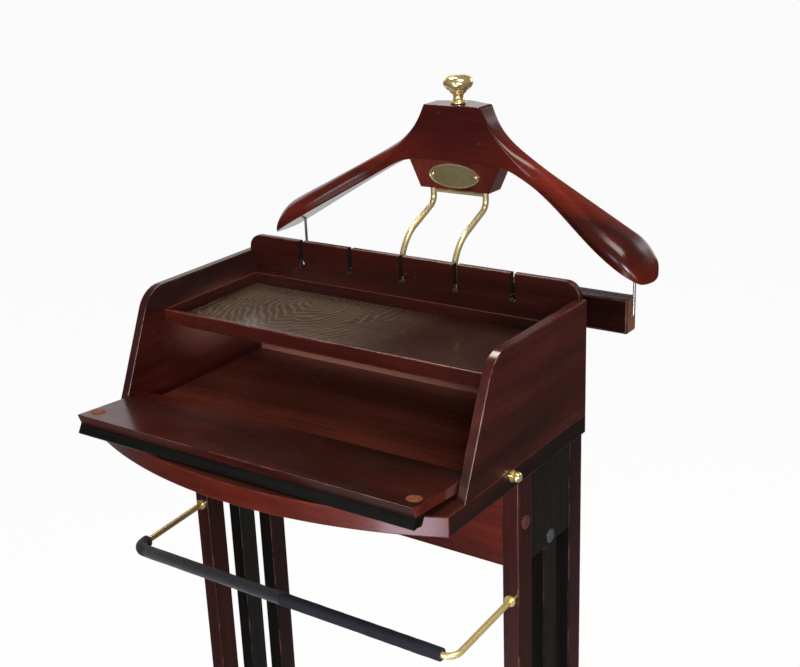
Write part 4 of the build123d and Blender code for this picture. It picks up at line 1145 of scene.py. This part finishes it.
@dataclass
class ContourHanger(SubAssembly):
    """The carved hanger and the turned knob on its top. Lengths in millimetres about the base board's top."""

    origin: tuple[float, float] = (-138.9, 825.0)
    half: float = 224.6
    top: float = 261.7
    top_half: float = 34.0
    top_softness: float = 1.2
    arm_top: float = 208.0
    arm_reference: float = 90.0
    top_slope: float = 0.544
    flank_run: float = 11.5
    flank_limit: float = 3.0
    rise: float = 204.0
    under_slope: float = 0.5975
    under_knee: float = 63.0
    under_softness: float = 14.4
    front: float = 310.8
    rear: float = 330.3
    bulge: float = 17.0
    bulge_width: float = 22.0
    flare: float = 33.0
    flare_start: float = 84.7
    flare_end: float = 199.6
    tip_run: float = 25.0
    tip_drop: float = 25.8
    tip_front: float = 16.0
    tip_rear: float = 6.0
    nose: float = 4.5
    blunt: float = 0.02
    front_wide: float = 26.0
    front_wide_share: float = 0.58
    front_tall: float = 19.0
    front_tall_share: float = 0.76
    front_crown_run: float = 78.0
    rear_crown: float = 9.0
    rear_crown_share: float = 0.46
    rear_crown_run: float = 70.0
    edge: float = 1.6
    edge_share: float = 0.20
    along: int = 240
    top_part: float = 0.15
    crowding: float = 0.65
    around: int = 96
    weld: float = 0.00004
    knob_setback: float = 14.0
    knob_turns: int = 40
    knob_outline: tuple[tuple[float, float], ...] = (
        (0.0, 0.0), (7.6, 0.0), (8.3, 0.5), (8.3, 2.1), (7.7, 2.9), (6.7, 3.2), (5.9, 4.4), (5.2, 6.4), (5.1, 8.2),
        (5.9, 10.0), (8.2, 11.4), (8.7, 12.1), (8.6, 13.2), (11.4, 14.4), (14.3, 17.2), (15.6, 21.3), (14.7, 25.2),
        (11.2, 28.2), (5.6, 29.25), (0.0, 29.3))

    def to_frame(self, x: float, y: float, z: float) -> Vector:
        """The frame's place, in metres, of a place in the drawing."""
        return Vector((x / 1000.0, (y + self.origin[0]) / 1000.0, (z + self.origin[1]) / 1000.0))

    def part(self, run: float, start: float, length: float) -> float:
        """How much of a length from a start a run covers, from 0 to 1."""
        return min(max((run - start) / length, 0.0), 1.0)

    def corners(self, run: float) -> list[tuple[float, float, float, float]]:
        """The four corners of an upright slice, each with its rounding.

        Args:
            run: distance from the hanger's middle.

        Returns:
            (y, z, rounding across, rounding up) of the lower front, lower rear, upper rear and upper front corner.
        """
        past = run - self.under_knee
        level = math.hypot(self.under_knee, self.under_softness) - self.under_knee
        under = self.rise - self.under_slope * (past + math.hypot(past, self.under_softness) - level) / 2
        shoulder = self.arm_top - self.top_slope * (self.top_half - self.arm_reference)
        slope = self.arm_top - self.top_slope * (run - self.arm_reference)
        swell = math.exp(min((self.top_half - run) / self.flank_run, self.flank_limit))
        flank = slope + (self.top - shoulder) * swell
        top = (self.top + flank - math.hypot(flank - self.top, self.top_softness)) / 2
        share = self.part(run, self.flare_start, self.flare_end - self.flare_start)
        front = self.front - self.flare * share * share * (3 - 2 * share)
        rear = self.rear + self.bulge / (1 + (run / self.bulge_width) ** 2)
        reach = self.part(run, self.half - self.tip_run, self.tip_run)
        tip = 1 - math.sqrt(1 - reach * reach)
        top -= self.tip_drop * tip
        front += self.tip_front * tip
        rear -= self.tip_rear * tip
        ahead = self.part(run, self.top_half, self.front_crown_run)
        ahead *= ahead * (3 - 2 * ahead)
        behind = self.part(run, self.top_half, self.rear_crown_run)
        deep, thick = top - under, rear - front
        low = min(self.edge, self.edge_share * deep)
        wide = min(self.edge + (self.front_wide - self.edge) * ahead, self.front_wide_share * thick)
        tall = min(self.edge + (self.front_tall - self.edge) * ahead, self.front_tall_share * deep)
        crown = min(self.edge + (self.rear_crown - self.edge) * behind, self.rear_crown_share * deep)
        return [(front, under, low, low), (rear, under, low, low), (rear, top, crown, crown), (front, top, wide, tall)]

    def slice_point(self, run: float, turn: float) -> tuple[float, float]:
        """A point on the rim of a slice.

        Args:
            run: distance from the hanger's middle.
            turn: how far round the rim, from 0 to 4, one unit for each corner and the side after it.

        Returns:
            Its y and z.
        """
        corners = self.corners(run)
        index = int(turn) % 4
        part = turn - int(turn)
        y, z, wide, tall = corners[index]
        ways = [((0, 1), (1, 0)), ((-1, 0), (0, 1)), ((0, -1), (-1, 0)), ((1, 0), (0, -1))]
        start, end = ways[index]
        if part <= 0.5:
            lean = 1 - math.sin(part * math.pi)
            rest = 1 - math.cos(part * math.pi)
            return (y + wide * (start[0] * lean + end[0] * rest), z + tall * (start[1] * lean + end[1] * rest))
        next_y, next_z, next_wide, next_tall = corners[(index + 1) % 4]
        share = 2 * part - 1
        first = (y + wide * end[0], z + tall * end[1])
        begin = ways[(index + 1) % 4][0]
        last = (next_y + next_wide * begin[0], next_z + next_tall * begin[1])
        return (first[0] + (last[0] - first[0]) * share, first[1] + (last[1] - first[1]) * share)

    def run_at(self, share: float) -> float:
        """The distance from the middle of a ring of the sheet, closer together at the shoulder and the tip.

        Args:
            share: how far out the ring lies, from 0 to 1.

        Returns:
            Its distance in millimetres.
        """
        if share <= self.top_part:
            return self.top_half * share / self.top_part
        past = (share - self.top_part) / (1 - self.top_part)
        spread = past - self.crowding * math.sin(math.tau * past) / math.tau
        return min(self.top_half + (self.half - self.top_half) * spread, self.half - self.blunt)

    def body(self) -> Piece:
        """The hanger: a sheet wrapped round its slices, closed at both blunt ends.

        Returns:
            The piece.
        """
        shape = bmesh.new()
        bmesh.ops.create_grid(shape, x_segments=self.along, y_segments=self.around, size=1.0)
        for vert in shape.verts:
            run = self.run_at(abs(vert.co.x))
            turn = min((vert.co.y + 1.0) * 2.0, 4.0 - 1e-9) if vert.co.y < 1.0 - 1e-6 else 0.0
            y, z = self.slice_point(run, turn)
            near = self.part(run, self.half - self.nose, self.nose)
            pull = 1 - math.sqrt(1 - near * near)
            ends = self.corners(run)
            y += ((ends[0][0] + ends[1][0]) / 2 - y) * pull
            z += (ends[0][1] - z) * pull
            vert.co = self.to_frame(math.copysign(run, vert.co.x), y, z)
        bmesh.ops.remove_doubles(shape, verts=shape.verts, dist=self.weld)
        bmesh.ops.holes_fill(shape, edges=[edge for edge in shape.edges if edge.is_boundary], sides=0)
        bmesh.ops.recalc_face_normals(shape, faces=shape.faces)
        finish = self.joiner.palette.hanger
        return self.joiner.publish(shape, "carved_hanger", "hanger", finish, crease=55.0, even=True)

    def knob(self) -> Piece:
        """The turned knob: beaded foot, hollow neck, collar and flattened head.

        Returns:
            The piece.
        """
        shape = bmesh.new()
        centre = self.to_frame(0.0, self.front + self.knob_setback, self.top)
        outline = [(centre.x + r / 1000.0, centre.y, centre.z + z / 1000.0) for r, z in self.knob_outline]
        lathed(shape, outline, centre, self.knob_turns)
        piece = self.joiner.publish(shape, "turned_knob", "hanger_knob", self.joiner.palette.brass, crease=80.0)
        rounded = piece.modifiers.new("rounded", "SUBSURF")
        rounded.levels = rounded.render_levels = 2
        return piece

    def build(self) -> None:
        """Shapes the hanger and its knob."""
        self.body()
        self.knob()
        self.joiner.stained("knob_stud", self.joiner.palette.steel)


@dataclass
class HungBar(SubAssembly):
    """The trouser bar and the two steel wires that it hangs from."""

    def build(self) -> None:
        """Dresses the bar and wires."""
        join, woods = self.joiner, self.joiner.palette
        bar = join.dressed("trouser_bar", woods.dark_across, Lay.BAR)
        # The bar's end faces get the brighter copy of the mahogany: painted light.
        join.faced(bar, woods.bar_end_painted_light, Side.RIGHT, Side.LEFT)
        for side in ("left", "right"):
            join.turned(f"bar_wire_{side}", woods.steel)


def main() -> None:
    """Builds the stand's looks piece by piece and reports each one."""
    logging.basicConfig(level=logging.INFO, format="%(name)s %(message)s")
    Studio().build()
    joiner = Joiner(Palette())
    for part in (OrganiserBox, Tray, FallFront, SideFrames, FrontBar, HangerStem, ContourHanger, HungBar):
        part(joiner).build()


if __name__ == "__main__":
    main()
